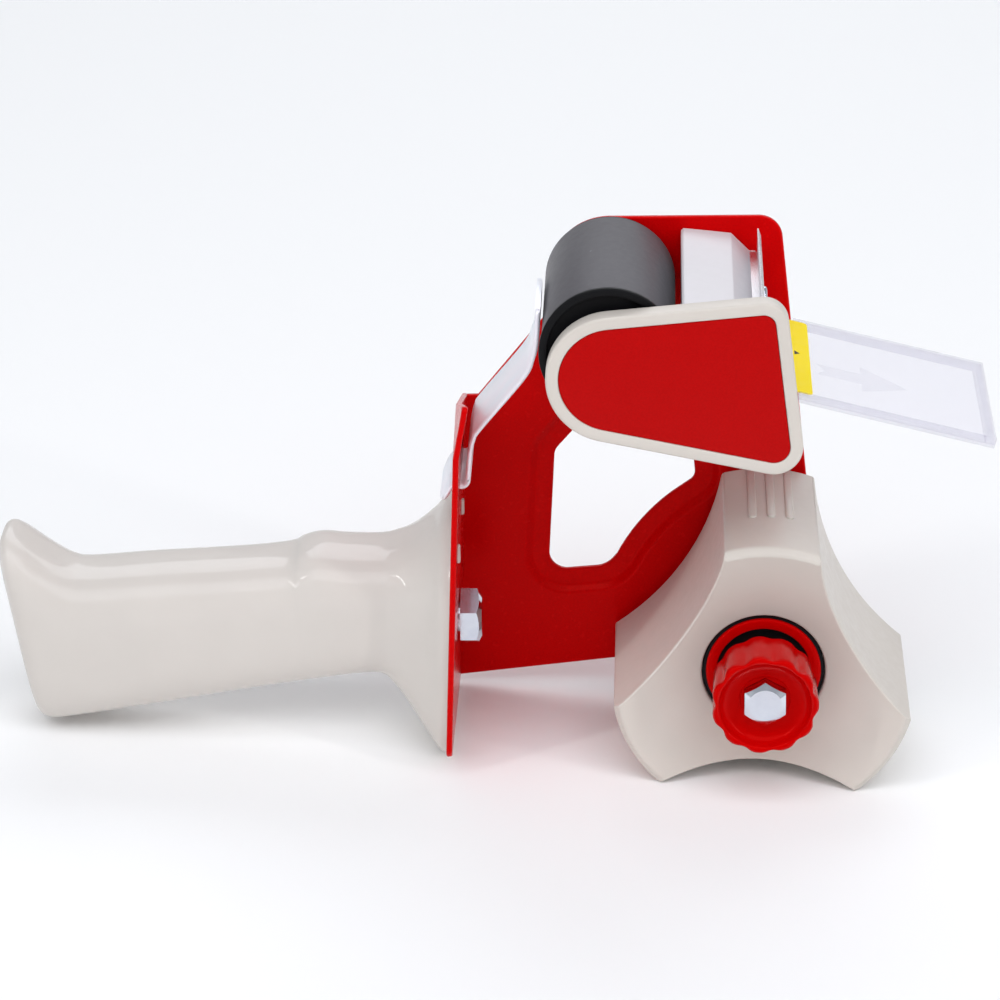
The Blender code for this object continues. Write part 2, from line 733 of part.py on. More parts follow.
def flap_pin(look, parent):
    head_r, back = 0.0022, PLATE_BACK + GAP
    profile = [(FLAP_PIN_R, PIN_NEAR), (FLAP_PIN_R, back), (head_r, back), (head_r, back + 0.0010)]
    return finish("flap_pin", shaft(profile, 16, FLAP_PIN_X, FLAP_PIN_Z), look, parent, 40.0)


def guard_flap(look, parent):
    """The clear flap: a sheet with a rim on three sides, and a barrel with a heel on its pin."""
    half = FLAP_HALF_WIDTH
    top = FLAP_TOP
    bottom = top - FLAP_THICK
    low, high = bottom - FLAP_SKIRT, top + FLAP_RIM
    inner_end = FLAP_LENGTH - FLAP_END_RIM
    heel = FLAP_HEEL_THICK / 2.0
    from_heel = math.degrees(math.asin(heel / FLAP_BARREL_R))
    to_top = math.degrees(math.asin(top / FLAP_BARREL_R))
    to_bottom = math.degrees(math.asin(bottom / FLAP_BARREL_R))
    over = arc(0.0, 0.0, FLAP_BARREL_R, 180.0 - from_heel, to_top, 8)
    under = arc(0.0, 0.0, FLAP_BARREL_R, to_bottom, from_heel - 180.0, 8)
    end = [(inner_end, top), (inner_end, high), (FLAP_LENGTH, high), (FLAP_LENGTH, low)]
    end += [(inner_end, low), (inner_end, bottom)]
    section = [(-FLAP_HEEL, -heel), (-FLAP_HEEL, heel), *over, *end, *under]
    made = finish("guard_flap", slab(section, -half, half), look, parent)
    inset = 0.0001
    start, stop = FLAP_BARREL_R + 0.003, inner_end + FLAP_END_RIM / 2.0
    side = [(start, low + inset), (stop, low + inset), (stop, high - inset), (start, high - inset)]
    for near, far in ((inset - half, FLAP_SIDE_RIM - half), (half - FLAP_SIDE_RIM, half - inset)):
        combine(made, slab(side, near, far), "UNION")
    bore = shaft([(FLAP_PIN_R + GAP, -half - 0.001), (FLAP_PIN_R + GAP, half + 0.001)], 16)
    combine(made, bore, "DIFFERENCE")
    return made


def flap_label(look, parent):
    """A thin sticker across the flap's root."""
    low = FLAP_TOP + LABEL_GAP
    across = [(0.0045, low), (0.0098, low), (0.0098, low + LABEL_THICK), (0.0045, low + LABEL_THICK)]
    return finish("flap_label", slab(across, -0.0220, 0.0220), look, parent)


# ---------------------------------------------------------------- tape hub


def hub_outline(radius, waist, arc_steps=5, side_steps=8):
    """Three arms with round ends, joined by hollow sides."""
    half = HUB_ARM_HALF
    middle = math.radians(60.0)
    chord = radius * math.sin(middle - half)
    level = radius * math.cos(middle - half)
    sagitta = level - waist
    side_r = (chord * chord + sagitta * sagitta) / (2.0 * sagitta)
    side_half = math.asin(chord / side_r)
    points = []
    for arm in range(3):
        axis = math.radians(90.0 + 120.0 * arm)
        for i in range(arc_steps + 1):
            angle = axis - half + 2.0 * half * i / arc_steps
            points.append((radius * math.cos(angle), radius * math.sin(angle)))
        outwards = axis + middle
        for i in range(1, side_steps):
            turn = side_half * (2.0 * i / side_steps - 1.0)
            along = waist + side_r - side_r * math.cos(turn)
            across = side_r * math.sin(turn)
            x = along * math.cos(outwards) - across * math.sin(outwards)
            z = along * math.sin(outwards) + across * math.cos(outwards)
            points.append((x, z))
    return points


def dished(points, drop=0.0):
    """The hub's front face: furthest forward at the arms' tips, deepest at the middle."""
    slope = (HUB_HALF_LENGTH + HUB_DISH_Y) / (HUB_R - HUB_TIP_CHAMFER - HUB_SEAT_R)
    ring = []
    for x, z in points:
        reach = min(math.hypot(x, z), HUB_R - HUB_TIP_CHAMFER) - HUB_SEAT_R
        ring.append((x, HUB_DISH_Y - slope * reach + drop, z))
    return ring


def toward(points, radius, share):
    """The points drawn towards a circle about the axis."""
    moved = []
    for x, z in points:
        reach = math.hypot(x, z)
        length = reach + (radius - reach) * share
        moved.append((x * length / reach, z * length / reach))
    return moved


def tape_hub(look, parent):
    """The hollow hub: open at the back, with a seat for the disc and a bore in its front wall."""
    outer = hub_outline(HUB_R, HUB_WAIST)
    tips = hub_outline(HUB_R - HUB_TIP_CHAMFER, HUB_WAIST)
    inner = grown(outer, -HUB_WALL)
    back = HUB_HALF_LENGTH
    bore = SLEEVE_R + GAP
    shoulder = []
    for x, y, z in dished(outer):
        at_tip = math.hypot(x, z) > HUB_R - 0.001
        shoulder.append((x, y + HUB_TIP_CHAMFER * at_tip, z))
    rings = [[(x, back, z) for x, z in outer], shoulder, dished(tips)]
    rings.append(dished(toward(tips, HUB_SEAT_R, 0.5)))
    rings.append(dished(toward(tips, HUB_SEAT_R, 1.0)))
    seat = toward(tips, HUB_SEAT_R, 1.0)
    hole = toward(tips, bore, 1.0)
    post = toward(tips, bore + HUB_WALL, 1.0)
    rings.append([(x, HUB_SEAT_Y, z) for x, z in seat])
    rings.append([(x, HUB_SEAT_Y, z) for x, z in hole])
    rings.append([(x, back - 0.0008, z) for x, z in hole])
    rings.append([(x, back - 0.0008, z) for x, z in post])
    rings.append([(x, HUB_SEAT_Y + HUB_WALL, z) for x, z in post])
    socket = toward(tips, HUB_SEAT_R + HUB_WALL, 1.0)
    rings.append([(x, HUB_SEAT_Y + HUB_WALL, z) for x, z in socket])
    rings.append(dished(inner, HUB_WALL + 0.0018))
    rings.append([(x, back, z) for x, z in inner])
    work = bmesh.new()
    loops = [[work.verts.new(point) for point in ring] for ring in rings]
    for first, second in zip(loops, loops[1:] + loops[:1]):
        wall(work, first, second)
    return finish("tape_hub", work, look, parent, 30.0)


# ---------------------------------------------------------------- axle, disc, spring and knob


def axle_sleeve(look, parent):
    """A spacer tube on the bolt, from the side plate to just short of the disc."""
    bore, far = BOLT_R + GAP, PLATE_Y - GAP
    profile = [(bore, SLEEVE_FRONT), (SLEEVE_R, SLEEVE_FRONT), (SLEEVE_R, far), (bore, far)]
    return finish("axle_sleeve", turned(profile, 32), look, parent, 40.0)


def axle_nut(look, parent):
    """The nut welded to the back of the side plate, which the bolt screws into."""
    near = PLATE_BACK + GAP
    work = slab(hexagon(M6_FLATS, 30.0), near, near + 0.005, [circle(BOLT_R + GAP / 2, 24)])
    return finish("axle_nut", work, look, parent)


def brake_disc(look, parent):
    """The friction disc that the spring presses onto the hub."""
    bore, back = BOLT_R + GAP, HUB_SEAT_Y - GAP
    profile = [(bore, DISC_FRONT), (DISC_R - 0.0004, DISC_FRONT), (DISC_R, DISC_FRONT + 0.0004)]
    profile += [(DISC_R, back), (bore, back)]
    return finish("brake_disc", turned(profile, 40), look, parent, 40.0)


def tension_spring(look, parent):
    """A compression spring between the disc and the washer under the knob."""
    steps_per_turn, sides = 16, 6
    near = KNOB_BACK + WASHER_THICK + 2.0 * GAP + SPRING_WIRE
    far = DISC_FRONT - GAP - SPRING_WIRE
    count = int(steps_per_turn * SPRING_TURNS)
    along = Vector((0.0, 1.0, 0.0))
    rings = []
    for i in range(count + 1):
        share = i / count
        angle = 2.0 * math.pi * SPRING_TURNS * share
        outwards = Vector((math.cos(angle), 0.0, math.sin(angle)))
        centre = outwards * SPRING_R + Vector((0.0, near + (far - near) * share, 0.0))
        ring = []
        for k in range(sides):
            turn = 2.0 * math.pi * k / sides
            around = outwards * math.cos(turn) + along * math.sin(turn)
            ring.append(centre + around * SPRING_WIRE)
        rings.append(ring)
    return finish("tension_spring", stack(rings), look, parent, 60.0)


def spring_washer(look, parent):
    near = KNOB_BACK + GAP
    profile = [(BOLT_R + GAP, near), (0.0088, near), (0.0088, near + WASHER_THICK)]
    profile.append((BOLT_R + GAP, near + WASHER_THICK))
    return finish("spring_washer", turned(profile, 32), look, parent, 40.0)


def scallops(radius, depth, steps=66):
    """A round outline with shallow hollows between its lobes."""
    points = []
    for i in range(steps):
        angle = 2.0 * math.pi * i / steps
        reach = radius - depth * (0.5 - 0.5 * math.cos(KNOB_LOBES * angle))
        points.append((reach * math.cos(angle), reach * math.sin(angle)))
    return points


def tension_knob(look, parent):
    """The cupped knob: scalloped outside, with a hexagon pocket that turns the bolt."""
    rim = KNOB_FRONT
    floor = BOLT_HEAD_FRONT + BOLT_HEAD_HEIGHT
    sections = [
        (scallops(KNOB_R - 0.0010, KNOB_VALLEY * 0.5), KNOB_SKIRT),
        (scallops(KNOB_R - 0.0003, KNOB_VALLEY), KNOB_SKIRT - 0.0010),
        (scallops(KNOB_R, KNOB_VALLEY), rim + 0.0012),
        (scallops(KNOB_R - 0.0008, KNOB_VALLEY * 0.8), rim),
        (scallops(KNOB_R - 0.0022, 0.0), rim + 0.0003),
        (scallops(0.0085, 0.0), floor - 0.0012),
    ]
    made = finish("tension_knob", stack(prism_rings(sections)), look, parent, 40.0)
    pocket = slab(hexagon(M6_FLATS + 2.0 * GAP), floor - 0.004, floor)
    combine(made, pocket, "DIFFERENCE")
    bore = shaft([(BOLT_R + GAP, floor - 0.001), (BOLT_R + GAP, KNOB_BACK + 0.001)], 24)
    combine(made, bore, "DIFFERENCE")
    room = shaft([(0.0102, KNOB_BACK), (0.0102, KNOB_SKIRT + 0.001)], 32)
    combine(made, room, "DIFFERENCE")
    return made


def tension_bolt(look, parent):
    """A long hexagon bolt on the hub's axis: the knob turns it in the nut."""
    head_back = BOLT_HEAD_FRONT + BOLT_HEAD_HEIGHT - GAP
    sections = [(hexagon(M6_FLATS * 0.92), BOLT_HEAD_FRONT), (hexagon(M6_FLATS), BOLT_HEAD_FRONT + 0.0004)]
    sections.append((hexagon(M6_FLATS), head_back))
    made = finish("tension_bolt", stack(prism_rings(sections)), look, parent)
    shank = shaft([(BOLT_R, head_back - 0.001), (BOLT_R, PLATE_BACK + 0.0085)], 24)
    combine(made, shank, "UNION")
    return made


# ---------------------------------------------------------------- the whole object


def empty(name, parent=None, x=0.0, z=0.0):
    made = bpy.data.objects.new(name, None)
    bpy.context.scene.collection.objects.link(made)
    made.parent = parent
    made.location = (x, 0.0, z)
    return made


def build():
    clear_scene()
    red = material("red_paint", (0.50, 0.010, 0.018), 0.30)
    panel_red = material("panel_paint", (0.46, 0.008, 0.014), 0.38)
    knob_red = material("red_plastic", (0.62, 0.012, 0.020), 0.20)
    strap_zinc = material("zinc_strap", (0.74, 0.77, 0.82), 0.20, 1.0)
    white = material("ivory_plastic", (0.66, 0.63, 0.60), 0.38)
    grip_white = material("gloss_ivory", (0.68, 0.65, 0.61), 0.15)
    rubber = material("grey_rubber", (0.135, 0.130, 0.150), 0.50)
    black = material("black_plastic", (0.012, 0.012, 0.013), 0.40)
    zinc = material("zinc_plate", (0.72, 0.74, 0.78), 0.25, 1.0)
    steel = material("blade_steel", (0.62, 0.62, 0.64), 0.30, 1.0)
    clear = material("clear_plastic", (0.93, 0.92, 0.97), 0.08, 0.0, 0.35)
    yellow = material("yellow_label", (0.95, 0.78, 0.03), 0.45)

    axle = empty("axle")
    axle.location = (AXLE_X, AXLE_Y, HUB_R * math.sin(math.radians(30.0) + HUB_ARM_HALF))
    gun = empty("gun", axle)
    gun.rotation_euler = (0.0, REST_TILT, 0.0)
    flap_hinge = empty("flap_hinge", gun, FLAP_PIN_X, FLAP_PIN_Z)
    flap_hinge.rotation_euler = (0.0, FLAP_SLOPE, 0.0)

    side_frame(red, gun)
    handle_grip(grip_white, gun)
    handle_bolt(zinc, gun)
    handle_nut(zinc, gun)
    brake_strap(strap_zinc, gun)
    roller_sleeve(rubber, gun)
    roller_core(black, gun)
    roller_axle(zinc, gun)
    side_guard(white, gun)
    guard_panel(panel_red, gun)
    for i, (x, z) in enumerate(GUARD_SCREWS):
        guard_screw(f"guard_screw_{i + 1}", x, z, zinc, gun)
    for i, (x, z) in enumerate(HOLDER_SCREWS):
        holder_screw(f"holder_screw_{i + 1}", x, z, zinc, gun)
    blade_holder(white, gun)
    cutting_blade(steel, gun)
    for i, y in enumerate(BLADE_SCREWS):
        blade_screw(f"blade_screw_{i + 1}", y, zinc, gun)
    flap_pin(zinc, gun)
    guard_flap(clear, flap_hinge)
    flap_label(yellow, flap_hinge)
    tape_hub(white, axle)
    axle_sleeve(zinc, gun)
    axle_nut(zinc, gun)
    brake_disc(knob_red, gun)
    tension_spring(zinc, gun)
    spring_washer(zinc, gun)
    tension_knob(knob_red, gun)
    tension_bolt(zinc, gun)


build()
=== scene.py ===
"""The looks of a hand-held dispenser for packing tape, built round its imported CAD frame.

Pieces are modelled in the gun frame, as the CAD is: the origin at the middle of the hub axle,
+X towards the cutting blade, +Y towards the steel side plate, +Z up. GUN_SPACE, HUB_SPACE and
FLAP_SPACE then carry them to where the CAD stands. Lengths are in metres.
"""

import json
import math

import bmesh
import bpy
from mathutils import Matrix, Vector


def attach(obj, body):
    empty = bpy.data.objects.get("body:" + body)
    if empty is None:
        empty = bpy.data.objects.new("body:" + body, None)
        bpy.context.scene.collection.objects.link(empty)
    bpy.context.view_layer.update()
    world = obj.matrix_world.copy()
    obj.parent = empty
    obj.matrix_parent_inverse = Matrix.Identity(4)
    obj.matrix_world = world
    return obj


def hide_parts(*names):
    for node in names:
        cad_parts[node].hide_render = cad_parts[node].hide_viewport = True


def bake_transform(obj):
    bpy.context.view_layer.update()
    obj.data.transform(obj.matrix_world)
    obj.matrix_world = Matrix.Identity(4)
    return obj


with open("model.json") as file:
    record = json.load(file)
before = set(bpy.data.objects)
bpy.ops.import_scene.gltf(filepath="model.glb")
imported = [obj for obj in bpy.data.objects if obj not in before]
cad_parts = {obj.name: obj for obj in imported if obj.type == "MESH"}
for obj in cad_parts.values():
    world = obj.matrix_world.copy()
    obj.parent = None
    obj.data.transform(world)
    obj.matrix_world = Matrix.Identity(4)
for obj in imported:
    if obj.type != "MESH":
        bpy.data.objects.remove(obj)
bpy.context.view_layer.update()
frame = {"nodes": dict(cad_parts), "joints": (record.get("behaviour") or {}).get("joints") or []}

JOINTS = {joint["name"]: joint for joint in frame["joints"]}

# ---- sizes

GAP = 0.0003
REST_TILT = math.radians(-2.7)

# Side frame
SHEET = 0.0015
PLATE_Y = 0.0265
PLATE_BACK = PLATE_Y + SHEET
FLANGE_X = -0.0736
FLANGE_LEAN = 0.0406
CREASE_Z = 0.062
TAB_LEAN = 0.19
TAB_TWIST = 0.09
FLANGE_NEAR = -0.0263
FLANGE_BOTTOM_NEAR = -0.0190
FLANGE_BOTTOM_FAR = -0.0222
FLANGE_TOP_NEAR = 0.0760
FLANGE_TOP_FAR = 0.0565
EMBOSS_DEPTH = 0.0014
EMBOSS_BAND = 0.0066
EMBOSS_SLOPE = 0.0026
PAINTED_EDGE = 0.0005
FLAT_RING = 0.0003

# Tape hub
HUB_R = 0.0375
HUB_HALF_LENGTH = 0.024
HUB_ARM_HALF = math.radians(18.1)
HUB_WAIST = 0.0229
HUB_WALL = 0.0022
HUB_SEAT_R = 0.01525
HUB_SEAT_Y = -0.0115
HUB_DISH_Y = -0.0150
HUB_TIP_CHAMFER = 0.0017
RIB_WIDTH = 0.0021
RIB_RISE = 0.0005
RIB_FRONT = -0.0055
RIB_BACK = 0.0006
RIB_ROOT = 0.0004
RIB_PITCH = 0.0046
HUB_POST_DROP = 0.0008
HUB_FRONT_EXTRA = 0.0018
HUB_SHARP = 28.0
HUB_EDGE = 0.00065
HUB_OUTSIDE_RINGS = 8

# Axle, friction disc, spring and knob
BOLT_R = 0.003
SLEEVE_R = 0.006
DISC_R = 0.0142
DISC_FRONT = -0.0150
DISC_HOLE_R = 0.0116
DISC_CORE_R = 0.0150
KNOB_R = 0.01315
KNOB_VALLEY = 0.0010
KNOB_LOBES = 11
KNOB_STEPS = 264
KNOB_LIP = 0.0010
KNOB_BOWL_R = 0.0070
KNOB_FRONT = -0.0340
KNOB_BACK = -0.0215
KNOB_SKIRT = -0.0205
KNOB_ROOM_R = 0.0102
BOLT_HEAD_FRONT = -0.0335
BOLT_HEAD_HEIGHT = 0.004
M6_FLATS = 0.010
M6_PITCH = 0.001
M6_NUT_HEIGHT = 0.005
SPRING_WIRE = 0.0006
SPRING_R = 0.0068
SPRING_TURNS = 2.5
WASHER_THICK = 0.001
WASHER_R = 0.0088
FASTENER_STEPS = 96

# Roller
ROLLER_X = -0.0378
ROLLER_Z = 0.0892
ROLLER_R = 0.016
ROLLER_NEAR = -0.0238
ROLLER_FAR = 0.0240
ROLLER_FLANGE_R = 0.0165
ROLLER_RIM = 0.0017
ROLLER_FAR_FLANGE_R = 0.0155
ROLLER_BODY_R = 0.0130
ROLLER_AXLE_R = 0.003

# Side guard
GUARD_BACK = -0.0260
GUARD_FRONT = -0.0310
PANEL_BORDER = 0.0030
PANEL_SINK = 0.0002
PANEL_GAP = 0.00008
PANEL_THICK = 0.0006

# Blade and its holder
HOLDER_FACE = -0.0020
HOLDER_BOTTOM = 0.0765
HOLDER_STOP = 0.0811
HOLDER_STOP_LEFT = -0.0054
HOLDER_LEFT = -0.0204
HOLDER_LEDGE = 0.0954
LEDGE_LEFT = -0.0035
SCREW_R = 0.0015
SCREW_HEAD_R = 0.0028
SCREW_HEAD = 0.0016
SCREW_LENGTH = 0.0090
HOLDER_SCREWS = ((-0.0130, 0.0950), (-0.0130, 0.0815))
BLADE_THICK = 0.0009
BLADE_TOP = 0.1023
BLADE_BOTTOM = 0.0830
BLADE_TEETH = 34
BLADE_TOOTH = 0.0011
BLADE_HALF = 0.0238
BLADE_SCREWS = (-0.0140, 0.0140)
BLADE_SCREW_Z = 0.0880

# Flap
FLAP_PIN_X = 0.0020
FLAP_PIN_Z = 0.0787
FLAP_SLOPE = math.radians(14.4)
FLAP_TOP = 0.0006
FLAP_LENGTH = 0.0540
FLAP_THICK = 0.0012
FLAP_HALF_WIDTH = 0.0238
FLAP_PIN_R = 0.00125
FLAP_SKIRT = 0.0008
FLAP_RIM = 0.0005
FLAP_END_RIM = 0.0022
FLAP_SIDE_RIM = 0.0012
FLAP_BARREL_R = 0.0023
FLAP_HEEL = 0.0050
FLAP_HEEL_THICK = 0.0018
LABEL_GAP = 0.00005
LABEL_THICK = 0.0002
LABEL_START = 0.0030
LABEL_END = 0.0088
LABEL_HALF = 0.0225

# Brake strap
STRAP_NEAR = -0.0125
STRAP_FAR = 0.0100
STRAP_THICK = 0.0012
STRAP_ROOM = 0.0008
STRAP_SLOT_LOW = 0.0464
STRAP_SLOT_HIGH = 0.0504
STRAP_END_CORNER = 0.0012
STRAP_TAB_CORNER = 0.0035

# Handle
GRIP_WALL = 0.0028
HANDLE_BOLT_Z = 0.0080
GRIP_SLOTS = [(0.0020, 0.0037, 0.0344, 0.0390), (-0.0181, -0.0164, 0.0306, 0.0358)]
M8_R = 0.004
M8_FLATS = 0.013
M8_HEAD_HEIGHT = 0.0053
M8_LENGTH = 0.030

# Where the camera stands, seen from the gun
CAMERA_AZIMUTH = math.radians(2.4)
CAMERA_ELEVATION = math.radians(24.5)
CAMERA_ROLL = math.radians(-1.0)
CAMERA_AIM = Vector((-0.0650, 0.0, 0.0397))
CAMERA_DISTANCE = 1.021
LIGHTS_AIM = Vector((0.0, 0.0, 0.06))
CAMERA_LENS = 148.9

HUB_SPACE = Matrix.Translation(JOINTS["hub_spin"]["pos_m"])
GUN_SPACE = HUB_SPACE @ Matrix.Rotation(REST_TILT, 4, "Y")
HINGE_SPACE = GUN_SPACE @ Matrix.Translation((FLAP_PIN_X, 0.0, FLAP_PIN_Z))
FLAP_SPACE = HINGE_SPACE @ Matrix.Rotation(FLAP_SLOPE, 4, "Y")


# ---- camera, light and floor


def linked(name, data):
    """A new object with this data, in the scene."""
    made = bpy.data.objects.new(name, data)
    bpy.context.scene.collection.objects.link(made)
    return made


def photo_camera():
    """The camera of the product shot, carried to the world with the gun."""
    right = Vector((math.cos(CAMERA_AZIMUTH), math.sin(CAMERA_AZIMUTH), 0.0))
    level = Vector((-math.sin(CAMERA_AZIMUTH), math.cos(CAMERA_AZIMUTH), 0.0))
    forward = level * math.cos(CAMERA_ELEVATION) - Vector((0.0, 0.0, math.sin(CAMERA_ELEVATION)))
    up = right.cross(forward)
    across = right * math.cos(CAMERA_ROLL) + up * math.sin(CAMERA_ROLL)
    upwards = up * math.cos(CAMERA_ROLL) - right * math.sin(CAMERA_ROLL)
    place = Matrix((across, upwards, -forward)).transposed().to_4x4()
    place.translation = CAMERA_AIM - forward * CAMERA_DISTANCE
    lens = bpy.data.cameras.new("photo_camera")
    lens.lens = CAMERA_LENS
    lens.sensor_width = 36.0
    lens.clip_start = 0.05
    made = linked("photo_camera", lens)
    made.matrix_world = GUN_SPACE @ place
    bpy.context.scene.camera = made


def softbox(name, place, size, power, colour):
    """A rectangular soft light, turned towards the object."""
    lamp = bpy.data.lights.new(name, "AREA")
    lamp.shape = "RECTANGLE"
    lamp.size, lamp.size_y = size
    lamp.energy = power
    lamp.color = colour
    made = linked(name, lamp)
    made.location = place
    made.rotation_euler = (LIGHTS_AIM - Vector(place)).to_track_quat("-Z", "Y").to_euler()


def studio():
    """Large soft lights round the object, a white surround and a pale floor."""
    softbox("top_light", (0.05, -0.62, 1.15), (1.6, 1.0), 11.6, (0.94, 0.96, 1.0))
    softbox("left_light", (-0.95, -0.75, 0.75), (0.05, 0.8), 3.0, (1.0, 0.99, 0.97))
    softbox("right_light", (1.05, -0.60, 0.60), (0.05, 0.8), 2.6, (1.0, 0.98, 0.96))
    softbox("back_light", (0.10, 1.10, 0.95), (1.4, 0.7), 6.5, (0.95, 0.97, 1.0))
    world = bpy.data.worlds.new("white_surround")
    world.use_nodes = True
    surround = world.node_tree.nodes["Background"]
    surround.inputs["Strength"].default_value = 0.59
    place = world.node_tree.nodes.new("ShaderNodeTexCoord")
    split = world.node_tree.nodes.new("ShaderNodeSeparateXYZ")
    world.node_tree.links.new(place.outputs["Generated"], split.inputs["Vector"])
    bands = ((0.0, (0.97, 0.98, 1.0)), (0.15, (0.97, 0.98, 1.0)), (0.35, (0.70, 0.72, 0.75)))
    bands += ((0.75, (0.70, 0.72, 0.75)), (0.92, (0.22, 0.23, 0.26)), (1.0, (0.22, 0.23, 0.26)))
    ramped(world.node_tree, split.outputs["Z"], bands, surround.inputs["Color"])
    bpy.context.scene.world = world
    bpy.context.scene.view_settings.view_transform = "Standard"
    floor_mesh = bpy.data.meshes.new("floor")
    work = bmesh.new()
    bmesh.ops.create_circle(work, cap_ends=True, radius=9.0, segments=96)
    work.to_mesh(floor_mesh)
    work.free()
    floor = linked("floor", floor_mesh)
    floor_mesh.materials.append(plain("floor_paint", (0.95, 0.95, 0.95), 0.75)[0])


# ---- material recipes


def plain(name, colour, roughness, metallic=0.0, shine=0.5, tint=(1.0, 1.0, 1.0)):
    made = bpy.data.materials.new(name)
    made.use_nodes = True
    tree = made.node_tree
    shader = tree.nodes["Principled BSDF"]
    shader.inputs["Base Color"].default_value = (*colour, 1.0)
    shader.inputs["Roughness"].default_value = roughness
    shader.inputs["Metallic"].default_value = metallic
    shader.inputs["Specular IOR Level"].default_value = shine
    shader.inputs["Specular Tint"].default_value = (*tint, 1.0)
    return made, tree, shader


def pattern(tree, scale, detail=2.0, stretch=(1.0, 1.0, 1.0)):
    """A noise texture's value, in object space: scale is in repeats to the metre."""
    place = tree.nodes.new("ShaderNodeTexCoord")
    mapping = tree.nodes.new("ShaderNodeMapping")
    mapping.inputs["Scale"].default_value = stretch
    texture = tree.nodes.new("ShaderNodeTexNoise")
    texture.inputs["Scale"].default_value = scale
    texture.inputs["Detail"].default_value = detail
    tree.links.new(place.outputs["Object"], mapping.inputs["Vector"])
    tree.links.new(mapping.outputs["Vector"], texture.inputs["Vector"])
    return texture.outputs["Fac"]


def ranged(tree, value, low, high, socket, start=0.35, end=0.65):
    """Drives a socket from low to high as the value goes from start to end."""
    ramp = tree.nodes.new("ShaderNodeMapRange")
    ramp.inputs["From Min"].default_value = start
    ramp.inputs["From Max"].default_value = end
    ramp.inputs["To Min"].default_value = low
    ramp.inputs["To Max"].default_value = high
    tree.links.new(value, ramp.inputs["Value"])
    tree.links.new(ramp.outputs["Result"], socket)


def ramped(tree, value, stops, socket):
    """Drives a colour socket through (place, colour) stops."""
    ramp = tree.nodes.new("ShaderNodeValToRGB")
    band = ramp.color_ramp
    band.elements[0].position = stops[0][0]
    band.elements[0].color = (*stops[0][1], 1.0)
    band.elements[1].position = stops[-1][0]
    band.elements[1].color = (*stops[-1][1], 1.0)
    for position, colour in stops[1:-1]:
        band.elements.new(position).color = (*colour, 1.0)
    tree.links.new(value, ramp.inputs["Fac"])
    tree.links.new(ramp.outputs["Color"], socket)


def uneven_gloss(tree, shader, roughness, scale, detail, low, high):
    """Varies the roughness, between two shares of it."""
    grain = pattern(tree, scale, detail)
    ranged(tree, grain, roughness * low, roughness * high, shader.inputs["Roughness"])


def relief(tree, shader, *layers):
    """Bump from (value, depth in metres) layers, one over the other."""
    last = None
    for value, depth in layers:
        bump = tree.nodes.new("ShaderNodeBump")
        bump.inputs["Distance"].default_value = depth
        bump.inputs["Strength"].default_value = 1.0
        tree.links.new(value, bump.inputs["Height"])
        if last is not None:
            tree.links.new(last.outputs["Normal"], bump.inputs["Normal"])
        last = bump
    tree.links.new(last.outputs["Normal"], shader.inputs["Normal"])


def moulded(name, colour, roughness, grain, coat=0.0, shine=0.35, tint=(1.0, 1.0, 1.0)):
    """Moulded plastic: a little cloudy, with a fine grain and uneven gloss."""
    made, tree, shader = plain(name, colour, roughness, shine=shine, tint=tint)
    shader.inputs["Coat Weight"].default_value = coat
    shader.inputs["Coat Roughness"].default_value = 0.04
    cloudy = pattern(tree, 38.0, 3.0)
    deeper = tuple(part * 0.965 for part in colour)
    ramped(tree, cloudy, ((0.35, deeper), (0.65, colour)), shader.inputs["Base Color"])
    uneven_gloss(tree, shader, roughness, 420.0, 4.0, 0.85, 1.2)
    if grain > 0.0:
        relief(tree, shader, (pattern(tree, 2600.0, 2.0), grain))
    return made


def painted(name, colour, roughness, peel):
    """Sprayed red paint: an orange-peel skin with a finer grain in it."""
    made, tree, shader = plain(name, colour, roughness, tint=RED_SHEEN)
    darker = tuple(part * 0.90 for part in colour)
    speckle = pattern(tree, 1900.0, 3.0)
    ramped(tree, speckle, ((0.36, darker), (0.60, colour)), shader.inputs["Base Color"])
    uneven_gloss(tree, shader, roughness, 700.0, 3.0, 0.85, 1.25)
    skin, grain = pattern(tree, 900.0, 2.0), pattern(tree, 3200.0, 2.0)
    relief(tree, shader, (skin, peel), (grain, peel * 0.35))
    return made


def zinc(name, tints, scale, roughness, metal=1.0):
    """Zinc plating: bright metal with patches of faint colour in it."""
    made, tree, shader = plain(name, tints[0], roughness, metal)
    stops = [(0.30 + 0.40 * i / (len(tints) - 1), tint) for i, tint in enumerate(tints)]
    ramped(tree, pattern(tree, scale, 3.0), stops, shader.inputs["Base Color"])
    uneven_gloss(tree, shader, roughness, 900.0, 4.0, 0.8, 1.3)
    fine, coarse = pattern(tree, 1400.0, 3.0), pattern(tree, 220.0, 2.0)
    relief(tree, shader, (fine, 0.000004), (coarse, 0.000006))
    return made


def brushed(name, colour, roughness):
    """Ground steel, with its scratches running across the blade."""
    made, tree, shader = plain(name, colour, roughness, 1.0)
    lines = pattern(tree, 900.0, 4.0, (6.0, 6.0, 0.25))
    ranged(tree, lines, roughness * 0.6, roughness * 1.6, shader.inputs["Roughness"])
    duller = tuple(part * 0.75 for part in colour)
    ramped(tree, lines, ((0.3, duller), (0.7, colour)), shader.inputs["Base Color"])
    relief(tree, shader, (lines, 0.000012))
    return made


